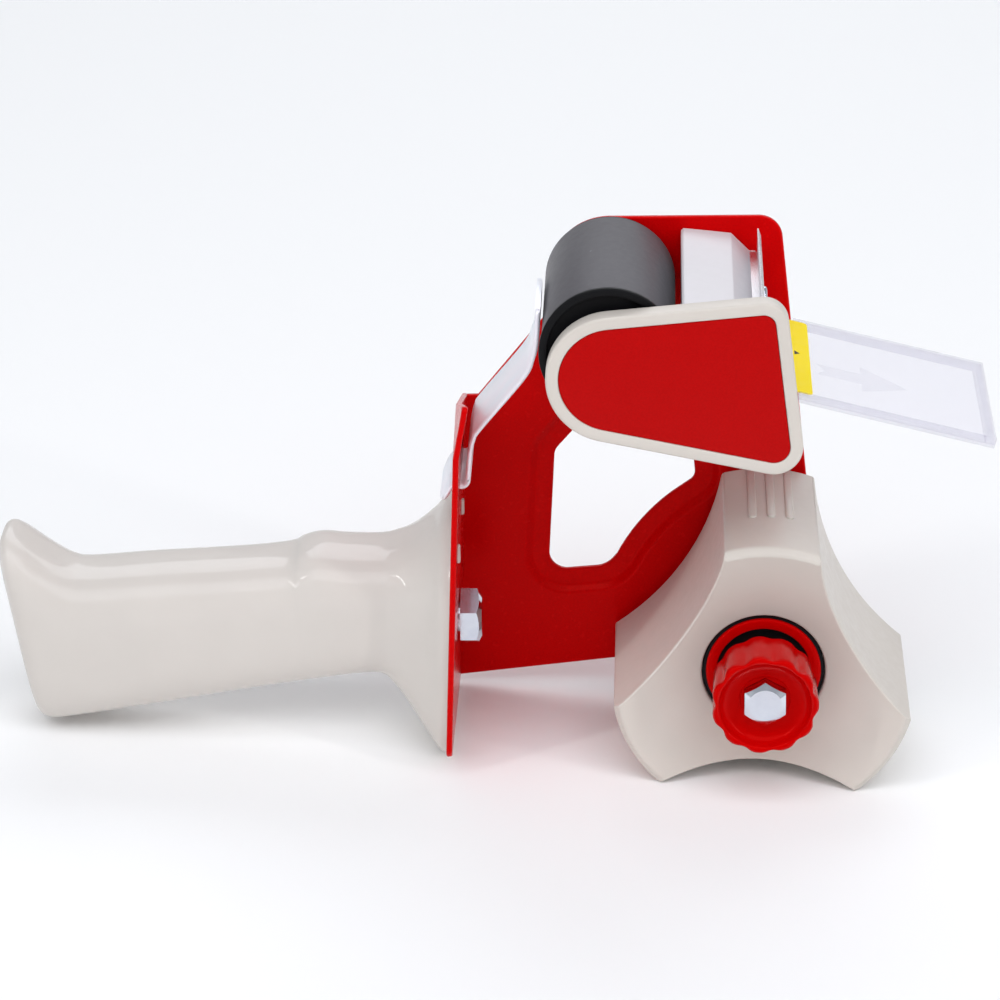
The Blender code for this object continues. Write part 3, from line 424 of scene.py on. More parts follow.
def rubbery(name, colour, roughness):
    """Ground rubber: fine grain, a dusty bloom and a few pale specks."""
    made, tree, shader = plain(name, colour, roughness, shine=0.25)
    shader.inputs["Sheen Weight"].default_value = 0.06
    shader.inputs["Sheen Roughness"].default_value = 0.4
    bloom = tuple(part * 1.03 for part in colour)
    speck = tuple(part * 2.6 for part in colour)
    grain = pattern(tree, 520.0, 2.0)
    stops = ((0.30, colour), (0.74, bloom), (0.775, bloom), (0.80, speck))
    ramped(tree, grain, stops, shader.inputs["Base Color"])
    uneven_gloss(tree, shader, roughness, 600.0, 3.0, 0.95, 1.05)
    relief(tree, shader, (pattern(tree, 3000.0, 3.0), 0.00002))
    return made


def clear(name, colour, share):
    """Clear moulded plastic with a trace of violet: thin enough to see straight through."""
    made, tree, shader = plain(name, colour, 0.06, shine=0.6)
    shader.inputs["Alpha"].default_value = share
    ranged(tree, pattern(tree, 350.0, 3.0), 0.04, 0.10, shader.inputs["Roughness"])
    relief(tree, shader, (pattern(tree, 90.0, 2.0), 0.00002))
    return made


RED_SHEEN = (1.0, 0.05, 0.04)
RED_PAINT = painted("red_paint_look", (0.60, 0.0006, 0.0016), 0.22, 0.000010)
PANEL_PAINT = painted("panel_paint_look", (0.45, 0.0028, 0.0034), 0.42, 0.000024)
RED_PLASTIC = moulded("red_plastic_look", (0.53, 0.0004, 0.0006), 0.15, 0.0, 0.0, 0.30, RED_SHEEN)
IVORY = moulded("ivory_look", (0.640, 0.590, 0.538), 0.38, 0.000010, 0.05, 0.30)
# A lighter, cooler copy of the ivory for the blade holder: painted top light, standing for the cool light
# its upper faces catch.
IVORY_PAINTED_TOP_LIGHT = moulded("ivory_painted_top_light_look", (0.680, 0.655, 0.680), 0.38, 0.000010, 0.05, 0.30)
GLOSS_IVORY = moulded("gloss_ivory_look", (0.650, 0.606, 0.566), 0.36, 0.0, 0.45, 0.10)
RUBBER = rubbery("rubber_look", (0.078, 0.074, 0.084), 0.46)
BLACK = moulded("black_plastic_look", (0.005, 0.005, 0.006), 0.40, 0.0, shine=0.12)
ZINC = zinc("zinc_look", ((0.60, 0.64, 0.73), (0.70, 0.73, 0.80), (0.63, 0.66, 0.74)), 160.0, 0.10)
STRAP_TINTS = ((0.85, 0.91, 0.98), (0.89, 0.92, 0.98), (0.93, 0.90, 0.96), (0.88, 0.92, 0.99))
STRAP_ZINC = zinc("strap_zinc_look", STRAP_TINTS, 45.0, 0.36, 0.30)
STEEL = brushed("blade_steel_look", (0.82, 0.82, 0.85), 0.34)
CLEAR = clear("clear_look", (0.68, 0.65, 0.82), 0.15)
# A darker copy of the clear plastic for the flap's rim: painted shade for the dark lines that refraction
# gives its edges.
CLEAR_RIM_PAINTED_SHADE = clear("clear_rim_painted_shade_look", (0.44, 0.42, 0.56), 0.17)
CLEAR_MARK = clear("clear_mark_look", (0.50, 0.47, 0.64), 0.05)
YELLOW = moulded("yellow_label_look", (0.98, 0.76, 0.012), 0.45, 0.0, shine=0.08)
PRINT = moulded("label_print_look", (0.015, 0.014, 0.012), 0.45, 0.0)


# ---- outlines


def round_angles(steps):
    """Angles once round, in equal steps."""
    return [2.0 * math.pi * i / steps for i in range(steps)]


def arc(centre_x, centre_z, radius, start_deg, end_deg, steps):
    """Points along an arc, both ends included."""
    points = []
    for i in range(steps + 1):
        angle = math.radians(start_deg + (end_deg - start_deg) * i / steps)
        points.append((centre_x + radius * math.cos(angle), centre_z + radius * math.sin(angle)))
    return points


def circle(radius, steps, centre_x=0.0, centre_z=0.0):
    return arc(centre_x, centre_z, radius, 0.0, 360.0 * (steps - 1) / steps, steps - 1)


def filleted(corners, degrees_per_step=4.0):
    """A closed outline from (x, z, radius) corners, each rounded by an arc."""
    points = []
    count = len(corners)
    for i, (x, z, radius) in enumerate(corners):
        here = Vector((x, z))
        before = (Vector(corners[i - 1][:2]) - here).normalized()
        after = (Vector(corners[(i + 1) % count][:2]) - here).normalized()
        if radius == 0.0:
            points.append((x, z))
            continue
        half = before.angle(after) / 2.0
        centre = here + (before + after).normalized() * (radius / math.sin(half))
        first = here + before * (radius / math.tan(half)) - centre
        last = here + after * (radius / math.tan(half)) - centre
        start = math.atan2(first.y, first.x)
        sweep = (math.atan2(last.y, last.x) - start + math.pi) % (2.0 * math.pi) - math.pi
        steps = max(2, round(abs(math.degrees(sweep)) / degrees_per_step))
        for k in range(steps + 1):
            angle = start + sweep * k / steps
            points.append((centre.x + radius * math.cos(angle), centre.y + radius * math.sin(angle)))
    return points


def oblong(left, right, low, high):
    return [(left, low), (right, low), (right, high), (left, high)]


def signed_area(points):
    total = 0.0
    for i, (x, z) in enumerate(points):
        last_x, last_z = points[i - 1]
        total += last_x * z - x * last_z
    return total / 2.0


def grown(points, distance):
    """The outline moved outwards by a distance, point by point."""
    turn = 1.0 if signed_area(points) > 0.0 else -1.0
    count = len(points)
    moved = []
    for i, point in enumerate(points):
        here = Vector(point)
        before = (here - Vector(points[i - 1])).normalized()
        after = (Vector(points[(i + 1) % count]) - here).normalized()
        normal_before = Vector((before.y, -before.x)) * turn
        normal_after = Vector((after.y, -after.x)) * turn
        both = normal_before + normal_after
        moved.append(tuple(here + both * (2.0 * distance / both.length_squared)))
    return moved


def smoothed(stations, steps):
    """A smooth curve through stations of any number of values, steps to each span."""
    curve = []
    last = len(stations) - 1
    for i in range(last):
        before, start = stations[max(i - 1, 0)], stations[i]
        end, after = stations[i + 1], stations[min(i + 2, last)]
        for k in range(steps):
            t = k / steps
            values = []
            for a, b, c, d in zip(before, start, end, after):
                bend = (2.0 * a - 5.0 * b + 4.0 * c - d) * t * t + (3.0 * b - a - 3.0 * c + d) * t**3
                values.append(b + 0.5 * ((c - a) * t + bend))
            curve.append(tuple(values))
    curve.append(tuple(stations[-1]))
    return curve


# ---- meshes


def wall(work, first, second):
    for i in range(len(first)):
        work.faces.new((first[i - 1], first[i], second[i], second[i - 1]))


def stack(rings, closed=False):
    """A solid through rings of (x, y, z) points: capped at both ends, or closed on itself."""
    work = bmesh.new()
    loops = [[work.verts.new(point) for point in ring] for ring in rings]
    for first, second in zip(loops, loops[1:]):
        wall(work, first, second)
    if closed:
        wall(work, loops[-1], loops[0])
    else:
        work.faces.new(loops[0])
        work.faces.new(loops[-1])
    return work


def at_depths(sections):
    """Rings for stack from (outline, y) sections."""
    return [[(x, y, z) for x, z in outline] for outline, y in sections]


def slab(outline, near, far):
    return stack(at_depths([(outline, near), (outline, far)]))


def rounded_profile(points, radius, steps=4):
    """A closed (r, y) profile with its corners rounded: radius is one for all, or one for each."""
    radii = radius if isinstance(radius, (list, tuple)) else [radius] * len(points)
    corners = [(r, y, size) for (r, y), size in zip(points, radii)]
    return filleted(corners, 90.0 / steps)


def turned(profile, steps=96, x=0.0, z=0.0):
    """A ring-shaped solid: a closed (radius, y) profile turned about an axis along Y."""
    rings = []
    for angle in round_angles(steps):
        cos, sin = math.cos(angle), math.sin(angle)
        rings.append([(x + r * cos, y, z + r * sin) for r, y in profile])
    return stack(rings, closed=True)


def shaft(profile, steps=48, x=0.0, z=0.0):
    """A solid of (radius, y) steps on an axis along Y."""
    return stack(at_depths([(circle(radius, steps, x, z), y) for radius, y in profile]))


def placed(work, degrees, axis, x=0.0, y=0.0, z=0.0):
    """Turns a shape about an axis through the origin, and then moves it."""
    spin = Matrix.Rotation(math.radians(degrees), 3, axis)
    bmesh.ops.rotate(work, cent=(0.0, 0.0, 0.0), matrix=spin, verts=work.verts)
    bmesh.ops.translate(work, vec=(x, y, z), verts=work.verts)
    return work


def along_x(work, x, y, z):
    """Takes a shape made on the Y axis and lays it along X: its +Y end points to +X."""
    return placed(work, -90.0, "Z", x, y, z)


def temporary(work):
    mesh = bpy.data.meshes.new("temporary")
    bmesh.ops.recalc_face_normals(work, faces=work.faces)
    work.to_mesh(mesh)
    work.free()
    return linked("temporary", mesh)


def combined(work, other, operation):
    """The first shape after a Boolean with the other one."""
    target, tool = temporary(work), temporary(other)
    step = target.modifiers.new("step", "BOOLEAN")
    step.operation = operation
    step.object = tool
    result = bmesh.new()
    result.from_object(target, bpy.context.evaluated_depsgraph_get())
    for used in (target, tool):
        mesh = used.data
        bpy.data.objects.remove(used)
        bpy.data.meshes.remove(mesh)
    return result


def piece(name, work, look, slot, body="frame", space=GUN_SPACE, replaces=None, smooth=32.0, edge=0.0):
    """Makes a finished piece of a shape: in place, riding on its body, with its edges softened."""
    bmesh.ops.remove_doubles(work, verts=work.verts, dist=1e-6)
    bmesh.ops.recalc_face_normals(work, faces=work.faces)
    work.transform(space)
    mesh = bpy.data.meshes.new(name)
    work.to_mesh(mesh)
    work.free()
    mesh.materials.append(look)
    mesh.shade_smooth()
    made = linked(name, mesh)
    if edge > 0.0:
        bevel = made.modifiers.new("soft_edges", "BEVEL")
        bevel.width = edge
        bevel.segments = 3
        bevel.limit_method = "WEIGHT" if "bevel_weight_edge" in mesh.attributes else "ANGLE"
        bevel.angle_limit = math.radians(smooth)
        bevel.use_clamp_overlap = False
        bevel.harden_normals = True
    else:
        mesh.set_sharp_from_angle(angle=math.radians(smooth))
    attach(made, body)
    if replaces is not None:
        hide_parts(*replaces)
    return made


def keep(node, look):
    """A CAD node whose shape is right stays, with a finished material."""
    data = frame["nodes"][node].data
    data.materials.clear()
    data.materials.append(look)


# ---- fasteners


def hex_reach(flats, angle):
    """The distance from a hexagon's centre to its side, in a direction."""
    sector = math.radians(60.0)
    return flats / 2.0 / math.cos((angle + sector / 2.0) % sector - sector / 2.0)


def hex_ring(flats, y, chamfer_r=None, out=1.0):
    """A hexagon's ring, pulled back where it stands outside the chamfer's cone."""
    slope = math.tan(math.radians(30.0))
    ring = []
    for angle in round_angles(FASTENER_STEPS):
        reach = hex_reach(flats, angle + math.radians(30.0))
        back = 0.0 if chamfer_r is None else max(0.0, reach - chamfer_r) * slope
        ring.append((reach * math.sin(angle), y + back * out, reach * math.cos(angle)))
    return ring


def round_ring(radius, y):
    """A circle with as many points as a hexagon's ring."""
    angles = round_angles(FASTENER_STEPS)
    return [(radius * math.sin(angle), y, radius * math.cos(angle)) for angle in angles]


def hex_bolt(flats, front, height, shank_r, length):
    """A bolt with its head's face at -Y: chamfered corners, a shallow dish and a washer face."""
    chamfer_r = flats * 0.42
    back = front + height
    rings = [round_ring(chamfer_r * 0.82, front + 0.00010), round_ring(chamfer_r * 0.90, front + 0.00002)]
    rings += [round_ring(chamfer_r * 0.98, front), hex_ring(flats, front + 0.00004, chamfer_r)]
    rings += [hex_ring(flats, back), round_ring(shank_r, back)]
    rings += [round_ring(shank_r, back + length - shank_r * 0.3)]
    rings += [round_ring(shank_r * 0.75, back + length)]
    return stack(rings)


def hex_nut(flats, near, height, bore_r):
    chamfer_r = flats * 0.465
    far = near + height
    rings = [round_ring(bore_r, near), round_ring(bore_r, far - bore_r * 0.15)]
    rings += [round_ring(bore_r * 1.15, far), round_ring(chamfer_r, far)]
    rings += [hex_ring(flats, far - 0.00006, chamfer_r, -1.0), hex_ring(flats, near)]
    return stack(rings, closed=True)


def thread(radius, pitch, near, far):
    """A screw thread along Y: a vee profile carried round a helix."""
    steps, depth = 32, pitch * 0.55
    turns = int((far - near) / pitch)
    rings = []
    for row in range(4 * turns + 1):
        ring = []
        for i in range(steps):
            share = i / steps
            lift = (0.0, 0.5, 1.0, 0.5)[row % 4]
            y = near + pitch * (row / 4.0 + share * (row < 4 * turns) * (row > 0))
            reach = radius - depth * lift * (0 < row < 4 * turns)
            angle = 2.0 * math.pi * share
            ring.append((reach * math.cos(angle), min(y, far), reach * math.sin(angle)))
        rings.append(ring)
    return stack(rings)


def cross_cut(size, seat, depth):
    """The cross recess of a screw's head, sunk from y = seat."""
    wide, narrow = size, size * 0.22
    corners = []
    for x, z in ((1, 0), (0, 1), (-1, 0), (0, -1)):
        corners += [(x * wide + z * narrow, z * wide - x * narrow)]
        corners += [(x * wide - z * narrow, z * wide + x * narrow)]
        corners += [((x - z) * narrow, (z + x) * narrow)]
    tip = [(x * 0.45, z * 0.45) for x, z in corners]
    return stack(at_depths([(corners, seat + 0.0002), (corners, seat), (tip, seat - depth)]))


def pan_screw(seat, head_r, head, shank_r, length):
    """A pan-head screw with its head towards +Y, its seat at y = seat, and a cross recess."""
    top = seat + head
    profile = [(shank_r * 0.3, seat - length), (shank_r, seat - length + shank_r), (shank_r, seat)]
    profile += [(head_r, seat), (head_r, seat + head * 0.35)]
    profile += [(head_r * 0.94, seat + head * 0.65), (head_r * 0.80, seat + head * 0.88)]
    profile += [(head_r * 0.55, top - head * 0.02), (head_r * 0.3, top)]
    return combined(shaft(profile, 40), cross_cut(head_r * 0.55, top, head * 0.8), "DIFFERENCE")


# ---- side frame


def flange_x(z):
    """The flange's inner face, below its crease: it leans a little."""
    return FLANGE_X + (z - CREASE_Z) * FLANGE_LEAN


def tab_x(y, z):
    """The flange's inner face anywhere: its near top corner is bent over a slanted crease."""
    bent = (TAB_LEAN - FLANGE_LEAN) * (z - CREASE_Z) - TAB_TWIST * (y - FLANGE_NEAR)
    return flange_x(z) + max(0.0, bent)


def window_outline():
    """The opening in the side plate, with one edge that runs round the tape hub."""
    corners = [(-0.0181, 0.0515, 0.0050), (-0.0430, 0.0515, 0.0050)]
    corners += [(-0.0521, 0.0408, 0.0040), (-0.0540, 0.0072, 0.0045), (-0.0392, 0.0085, 0.0060)]
    corners += [(x, z, 0.0) for x, z in arc(0.0100, -0.0115, 0.0520, 153.5, 128.5, 20)]
    corners += [(-0.0166, 0.0334, 0.0030)]
    return filleted(corners)


def plate_outline():
    corners = [
        (flange_x(FLANGE_BOTTOM_FAR) - 0.0010, FLANGE_BOTTOM_FAR, 0.0),
        (0.0161, -0.0106, 0.0137),
        (0.0041, 0.1043, 0.0060),
        (-0.0528, 0.1040, 0.0150),
        (-0.0528, 0.0796, 0.0080),
        (-0.0711, 0.0566, 0.0),
        (flange_x(FLANGE_TOP_FAR) - 0.0010, FLANGE_TOP_FAR, 0.0),
    ]
    return filleted(corners)


def ring_edges(work, ring):
    verts = [work.verts.new(point) for point in ring]
    edges = [work.edges.new((verts[i - 1], verts[i])) for i in range(len(verts))]
    return verts, edges


def smooth_step(share):
    return share * share * (3.0 - 2.0 * share)


def side_plate():
    """The plate, with round edges, and the band round its opening pressed back by a smooth step."""
    work = bmesh.new()
    outer, window = plate_outline(), window_outline()
    rims, mouths = [], []
    for face, inwards in ((PLATE_Y, 1.0), (PLATE_BACK, -1.0)):
        outside = eased(outer, face, PAINTED_EDGE, inwards)
        outside.append((grown(outer, -PAINTED_EDGE - FLAT_RING), face))
        inside = [(grown(window, EMBOSS_BAND + FLAT_RING), face)]
        for i in range(9):
            drawn = EMBOSS_BAND - EMBOSS_SLOPE * i / 8
            inside.append((grown(window, drawn), face + EMBOSS_DEPTH * smooth_step(i / 8)))
        for i in range(5):
            angle = math.radians(22.5 * i)
            drawn = PAINTED_EDGE * (1.0 - math.sin(angle))
            depth = EMBOSS_DEPTH + inwards * PAINTED_EDGE * (1.0 - math.cos(angle))
            inside.append((grown(window, drawn), face + depth))
        outer_loops = [ring_edges(work, [(x, y, z) for x, z in points]) for points, y in outside]
        inner_loops = [ring_edges(work, [(x, y, z) for x, z in points]) for points, y in inside]
        bmesh.ops.triangle_fill(work, edges=outer_loops[-1][1] + inner_loops[0][1], use_beauty=True)
        for loops in (outer_loops, inner_loops):
            for (first, _), (second, _) in zip(loops, loops[1:]):
                wall(work, first, second)
        rims.append(outer_loops[0][0])
        mouths.append(inner_loops[-1][0])
    wall(work, *rims)
    wall(work, *mouths)
    return work


def flange():
    """The rear flange, with round edges and its near top corner bent forwards."""
    drop = FLANGE_TOP_NEAR - FLANGE_TOP_FAR
    width = PLATE_BACK - FLANGE_NEAR
    rise = TAB_TWIST / (TAB_LEAN - FLANGE_LEAN) * width
    share = (FLANGE_TOP_NEAR - CREASE_Z) / (rise + drop)
    crossing = (FLANGE_NEAR + share * width, FLANGE_TOP_NEAR - share * drop)
    corners = [(FLANGE_NEAR, CREASE_Z, 0.0), (FLANGE_NEAR, FLANGE_BOTTOM_NEAR, 0.0030)]
    corners += [(PLATE_BACK, FLANGE_BOTTOM_FAR, 0.0), (PLATE_BACK, FLANGE_TOP_FAR, 0.0)]
    corners += [(*crossing, 0.0), (FLANGE_NEAR, FLANGE_TOP_NEAR, 0.0014)]
    outline = filleted(corners)
    count = len(outline)
    reaches = [math.dist(point, crossing) for point in outline]
    second = reaches.index(min(reaches))
    reaches = [math.dist(point, (FLANGE_NEAR, CREASE_Z)) for point in outline]
    first = reaches.index(min(reaches))
    halves = []
    for start, end in ((first, second), (second, first)):
        halves.append([(start + i) % count for i in range((end - start) % count + 1)])
    work = bmesh.new()
    rings = []
    middle = grown(outline, -PAINTED_EDGE - FLAT_RING)
    sections = [(middle, 0.0)] + eased(outline, 0.0, PAINTED_EDGE, 1.0)[::-1]
    sections += eased(outline, SHEET, PAINTED_EDGE, -1.0) + [(middle, SHEET)]
    for points, depth in sections:
        rings.append([work.verts.new((tab_x(y, z) - depth, y, z)) for y, z in points])
    for before, after in zip(rings, rings[1:]):
        wall(work, before, after)
    for ring in (rings[0], rings[-1]):
        for half in halves:
            work.faces.new([ring[i] for i in half])
    return work


def side_frame():
    """The pressed plate and its flange, with slots, holes and thickly painted edges."""
    work = combined(side_plate(), flange(), "UNION")
    far_left, near_right = -0.080, -0.068
    strap_slot = (STRAP_NEAR - STRAP_ROOM, STRAP_FAR + STRAP_ROOM, STRAP_SLOT_LOW, STRAP_SLOT_HIGH)
    slots = [strap_slot, *GRIP_SLOTS]
    for near, far, low, high in slots:
        cutter = slab(oblong(far_left, near_right, low, high), near, far)
        work = combined(work, cutter, "DIFFERENCE")
    bolt_hole = along_x(shaft([(M8_R + GAP, 0.0), (M8_R + GAP, 0.012)]), far_left, 0.0, HANDLE_BOLT_Z)
    work = combined(work, bolt_hole, "DIFFERENCE")
    drilled = [(BOLT_R, 0.0, 0.0), (ROLLER_AXLE_R, ROLLER_X, ROLLER_Z)]
    drilled += [(FLAP_PIN_R, FLAP_PIN_X, FLAP_PIN_Z)]
    drilled += [(SCREW_R, x, z) for x, z in HOLDER_SCREWS]
    for radius, x, z in drilled:
        hole = shaft([(radius + GAP, PLATE_Y - 0.002), (radius + GAP, PLATE_BACK + 0.002)], 40, x, z)
        work = combined(work, hole, "DIFFERENCE")
    bmesh.ops.dissolve_degenerate(work, edges=work.edges, dist=1e-6)
    piece("side_frame_steel", work, RED_PAINT, "red_paint", replaces=["side_frame"], smooth=32.0)


# ---- handle


def grip_sections():
    """Stations from the flange to the grip's end: top x, top z, bottom x, bottom z, half width."""
    return [
        (-0.0762, 0.0378, -0.0786, -0.0241, 0.0246),
        (-0.0788, 0.0365, -0.0806, -0.0229, 0.0234),
        (-0.0820, 0.0335, -0.0836, -0.0190, 0.0204),
        (-0.0868, 0.0301, -0.0876, -0.0124, 0.0175),
        (-0.0912, 0.0284, -0.0912, -0.0070, 0.0160),
        (-0.0955, 0.0275, -0.0948, -0.0037, 0.0155),
        (-0.1036, 0.0276, -0.1010, -0.0039, 0.0155),
        (-0.1098, 0.0281, -0.1070, -0.0048, 0.0154),
        (-0.1143, 0.0272, -0.1120, -0.0057, 0.0149),
        (-0.1180, 0.0256, -0.1170, -0.0066, 0.0145),
        (-0.1299, 0.0243, -0.1300, -0.0088, 0.0144),
        (-0.1524, 0.0229, -0.1480, -0.0121, 0.0146),
        (-0.1675, 0.0217, -0.1640, -0.0149, 0.0147),
        (-0.1728, 0.0224, -0.1697, -0.0159, 0.0147),
        (-0.1786, 0.0261, -0.1744, -0.0168, 0.0146),
        (-0.1839, 0.0304, -0.1781, -0.0173, 0.0143),
        (-0.1869, 0.0321, -0.1805, -0.0165, 0.0134),
        (-0.1887, 0.0315, -0.1819, -0.0142, 0.0115),
        (-0.1897, 0.0287, -0.1832, -0.0092, 0.0078),
    ]


def grip_ring(station, steps, inset=0.0):
    """One rounded-box ring of the grip, drawn in by an inset."""
    top_x, top_z, bottom_x, bottom_z, half_width = station
    half_height = (top_z - bottom_z) / 2.0
    ring = []
    for angle in round_angles(steps):
        cos, sin = math.cos(angle), math.sin(angle)
        across = math.copysign(abs(cos) ** 0.54, cos) * (half_width - inset)
        shoulder = 0.68 if sin > 0.0 else 0.50
        up = math.copysign(abs(sin) ** shoulder, sin) * (half_height - inset) / half_height
        share = (up + 1.0) / 2.0
        x = bottom_x + (top_x - bottom_x) * share
        ring.append((x, across, bottom_z + (top_z - bottom_z) * share))
    return ring


def handle_grip():
    """The hollow grip: a smooth outside, a cavity with a boss in it, and lugs for the flange's slots."""
    steps = 96
    stations = smoothed(grip_sections(), 5)
    rings = [grip_ring(station, steps) for station in stations]
    behind = SHEET + 0.00003
    rings[0] = [(flange_x(z) - behind, y, z) for x, y, z in rings[0]]
    tip = [sum(point[axis] for point in rings[-1]) / steps for axis in range(3)]
    end_ring = rings[-1]
    for share, out in ((0.25, 0.0004), (0.55, 0.0007), (0.85, 0.0008)):
        ring = []
        for x, y, z in end_ring:
            ring.append((x + (tip[0] - x) * share - out, y + (tip[1] - y) * share, z + (tip[2] - z) * share))
        rings.append(ring)
    hollow_end, stride = 66, 3
    hollow = stations[:hollow_end:stride]
    inside = [grip_ring(station, steps, GRIP_WALL) for station in hollow]
    inside[0] = [(flange_x(z) - behind, y, z) for x, y, z in inside[0]]
    shell = stack(rings[::-1] + inside)
    piece("grip_shell", shell, GLOSS_IVORY, "gloss_ivory", replaces=["handle_grip"], smooth=55.0)
    boss_r, boss_start, boss_end = 0.0105, -0.1030, -0.0780
    bore, length = M8_R + GAP, boss_end - boss_start
    boss = along_x(turned(oblong(bore, boss_r, 0.0, length), 64), boss_start, 0.0, HANDLE_BOLT_Z)
    piece("grip_boss", boss, GLOSS_IVORY, "gloss_ivory", edge=0.0003)
    for i, (near, far, low, high) in enumerate(GRIP_SLOTS):
        start, tip = flange_x(high) - SHEET + 0.0002, flange_x(low) + 0.0007
        corners = [(start, low + GAP, 0.0), (tip, low + GAP, 0.0004)]
        corners += [(tip, high - GAP, 0.0004), (start, high - GAP, 0.0)]
        lug = slab(filleted(corners), near + GAP, far - GAP)
        piece(f"grip_lug_{i + 1}", lug, GLOSS_IVORY, "gloss_ivory", smooth=40.0)


def handle_bolt():
    seat = flange_x(HANDLE_BOLT_Z) + 0.0006
    work = hex_bolt(M8_FLATS, -M8_HEAD_HEIGHT, M8_HEAD_HEIGHT, M8_R, M8_LENGTH - 0.005)
    placed(work, 90.0, "Z", seat, 0.0, HANDLE_BOLT_Z)
    piece("handle_hex_bolt", work, ZINC, "zinc_plate", replaces=["handle_bolt"], smooth=25.0)


# ---- brake strap


def strap_path():
    """From the end that meets the roller down to the hook and out to the thumb tab."""
    upper = [(-0.0547, 0.0950), (-0.0551, 0.0872), (-0.0562, 0.0822), (-0.0586, 0.0772)]
    middle = [(-0.0690, 0.0643), (-0.0708, 0.0612), (-0.0717, 0.0570), (-0.0722, 0.0512)]
    hook = arc(-0.0739, 0.0505, 0.0017, 0.0, -80.0, 4)
    tab = [(-0.0758, 0.0487), (-0.0768, 0.0479), (-0.0788, 0.0444)]
    return upper + middle + hook + tab


def brake_strap():
    """A bent strip with rounded corners and rolled edges."""
    path = smoothed(strap_path(), 8)
    lengths = [0.0]
    for first, second in zip(path, path[1:]):
        lengths.append(lengths[-1] + math.dist(first, second))
    total = lengths[-1]
    half = STRAP_THICK / 2.0
    soft = STRAP_THICK * 0.28
    rings = []
    for i, (x, z) in enumerate(path):
        ahead = Vector(path[min(i + 1, len(path) - 1)])
        behind = Vector(path[max(i - 1, 0)])
        along = (ahead - behind).normalized()
        side = Vector((along.y, -along.x))
        near, far = STRAP_NEAR, STRAP_FAR
        for distance, corner in ((lengths[i], STRAP_END_CORNER), (total - lengths[i], STRAP_TAB_CORNER)):
            if distance < corner:
                inset = corner - math.sqrt(max(0.0, corner**2 - (corner - distance) ** 2))
                near, far = near + inset, far - inset
        ring = []
        for out, y in (
            (half, near + soft), (half, far - soft), (half - soft, far), (soft - half, far),
            (-half, far - soft), (-half, near + soft), (soft - half, near), (half - soft, near),
        ):
            ring.append((x + side.x * out, y, z + side.y * out))
        rings.append(ring)
    piece("brake_strap_zinc", stack(rings), STRAP_ZINC, "zinc_strap", "brake",
          replaces=["brake_strap"], smooth=50.0)


# ---- roller


def roller():
    inner = ROLLER_BODY_R + GAP
    corners = oblong(inner, ROLLER_R, ROLLER_NEAR, ROLLER_FAR)
    sleeve = rounded_profile(corners, [0.0, 0.0005, 0.0005, 0.0])
    piece("roller_rubber", turned(sleeve, 144, ROLLER_X, ROLLER_Z), RUBBER, "grey_rubber", "roller",
          replaces=["roller_sleeve"], smooth=40.0)
    bore, rim = ROLLER_AXLE_R + GAP, ROLLER_FLANGE_R
    near, far = ROLLER_NEAR - ROLLER_RIM, ROLLER_FAR + ROLLER_RIM
    dish, boss, lip = 0.0011, 0.0055, 0.0020
    corners = [(bore, near), (boss, near), (boss, near + dish), (rim - lip, near + dish)]
    corners += [(rim - lip, near), (rim, near), (rim, ROLLER_NEAR - GAP)]
    corners += [(ROLLER_BODY_R, ROLLER_NEAR - GAP)]
    hidden = ROLLER_FAR_FLANGE_R
    corners += [(ROLLER_BODY_R, ROLLER_FAR + GAP), (hidden, ROLLER_FAR + GAP), (hidden, far)]
    corners += [(hidden - lip, far), (hidden - lip, far - dish), (boss, far - dish)]
    corners += [(boss, far), (bore, far)]
    radii = [0.0, 0.0002, 0.0002, 0.0003, 0.0003, 0.0004, 0.0003, 0.0, 0.0, 0.0003, 0.0004]
    radii += [0.0003, 0.0003, 0.0002, 0.0002, 0.0]
    core = turned(rounded_profile(corners, radii, 3), 120, ROLLER_X, ROLLER_Z)
    piece("roller_spool", core, BLACK, "black_plastic", "roller", replaces=["roller_core"], smooth=40.0)


def roller_axle():
    """The axle pin, with its riveted head on the plate's back."""
    head_r, head = 0.0055, 0.0022
    back = PLATE_BACK + GAP
    profile = [(ROLLER_AXLE_R * 0.85, GUARD_BACK - 0.0010), (ROLLER_AXLE_R, GUARD_BACK - 0.0005)]
    profile += [(ROLLER_AXLE_R, back), (head_r, back), (head_r, back + head * 0.35)]
    for i in range(1, 7):
        angle = math.radians(15.0 * i)
        profile.append((head_r * math.cos(angle) + 0.0002, back + head * (0.35 + 0.65 * math.sin(angle))))
    piece("roller_rivet", shaft(profile, 64, ROLLER_X, ROLLER_Z), ZINC, "zinc_plate",
          replaces=["roller_axle"], smooth=35.0)


# ---- guard


def guard_outline():
    """A wedge-shaped outline whose round end lies over the roller."""
    return filleted([(-0.1411, 0.0904, 0.0160), (0.0095, 0.0584, 0.0070), (0.0039, 0.1046, 0.0060)])


def eased(outline, y, radius, inwards, steps=4):
    """Sections that round an edge: the outline drawn in as y goes to its last value."""
    sections = []
    for i in range(steps + 1):
        angle = math.radians(90.0) * i / steps
        drawn = radius * (1.0 - math.cos(angle))
        sections.append((grown(outline, -drawn), y + inwards * radius * (1.0 - math.sin(angle))))
    return sections


def side_guard():
    """The off-white guard: rounded outside, with a shallow tray for the panel."""
    outline = guard_outline()
    round_r, lip_r, tray = 0.0006, 0.0003, 0.0018
    back = eased(outline, GUARD_BACK, 0.0005, -1.0)[::-1]
    front = eased(outline, GUARD_FRONT, round_r, 1.0)
    lip = []
    for i in range(5):
        angle = math.radians(22.5 * i)
        drawn = PANEL_BORDER - lip_r + lip_r * math.sin(angle)
        lip.append((grown(outline, -drawn), GUARD_FRONT + lip_r * (1.0 - math.cos(angle))))
    floor = [(grown(outline, -PANEL_BORDER), GUARD_FRONT + tray)]
    rings = at_depths(back + front + lip + floor)
    piece("guard_shell", stack(rings), IVORY, "ivory_plastic", replaces=["side_guard"], smooth=50.0)


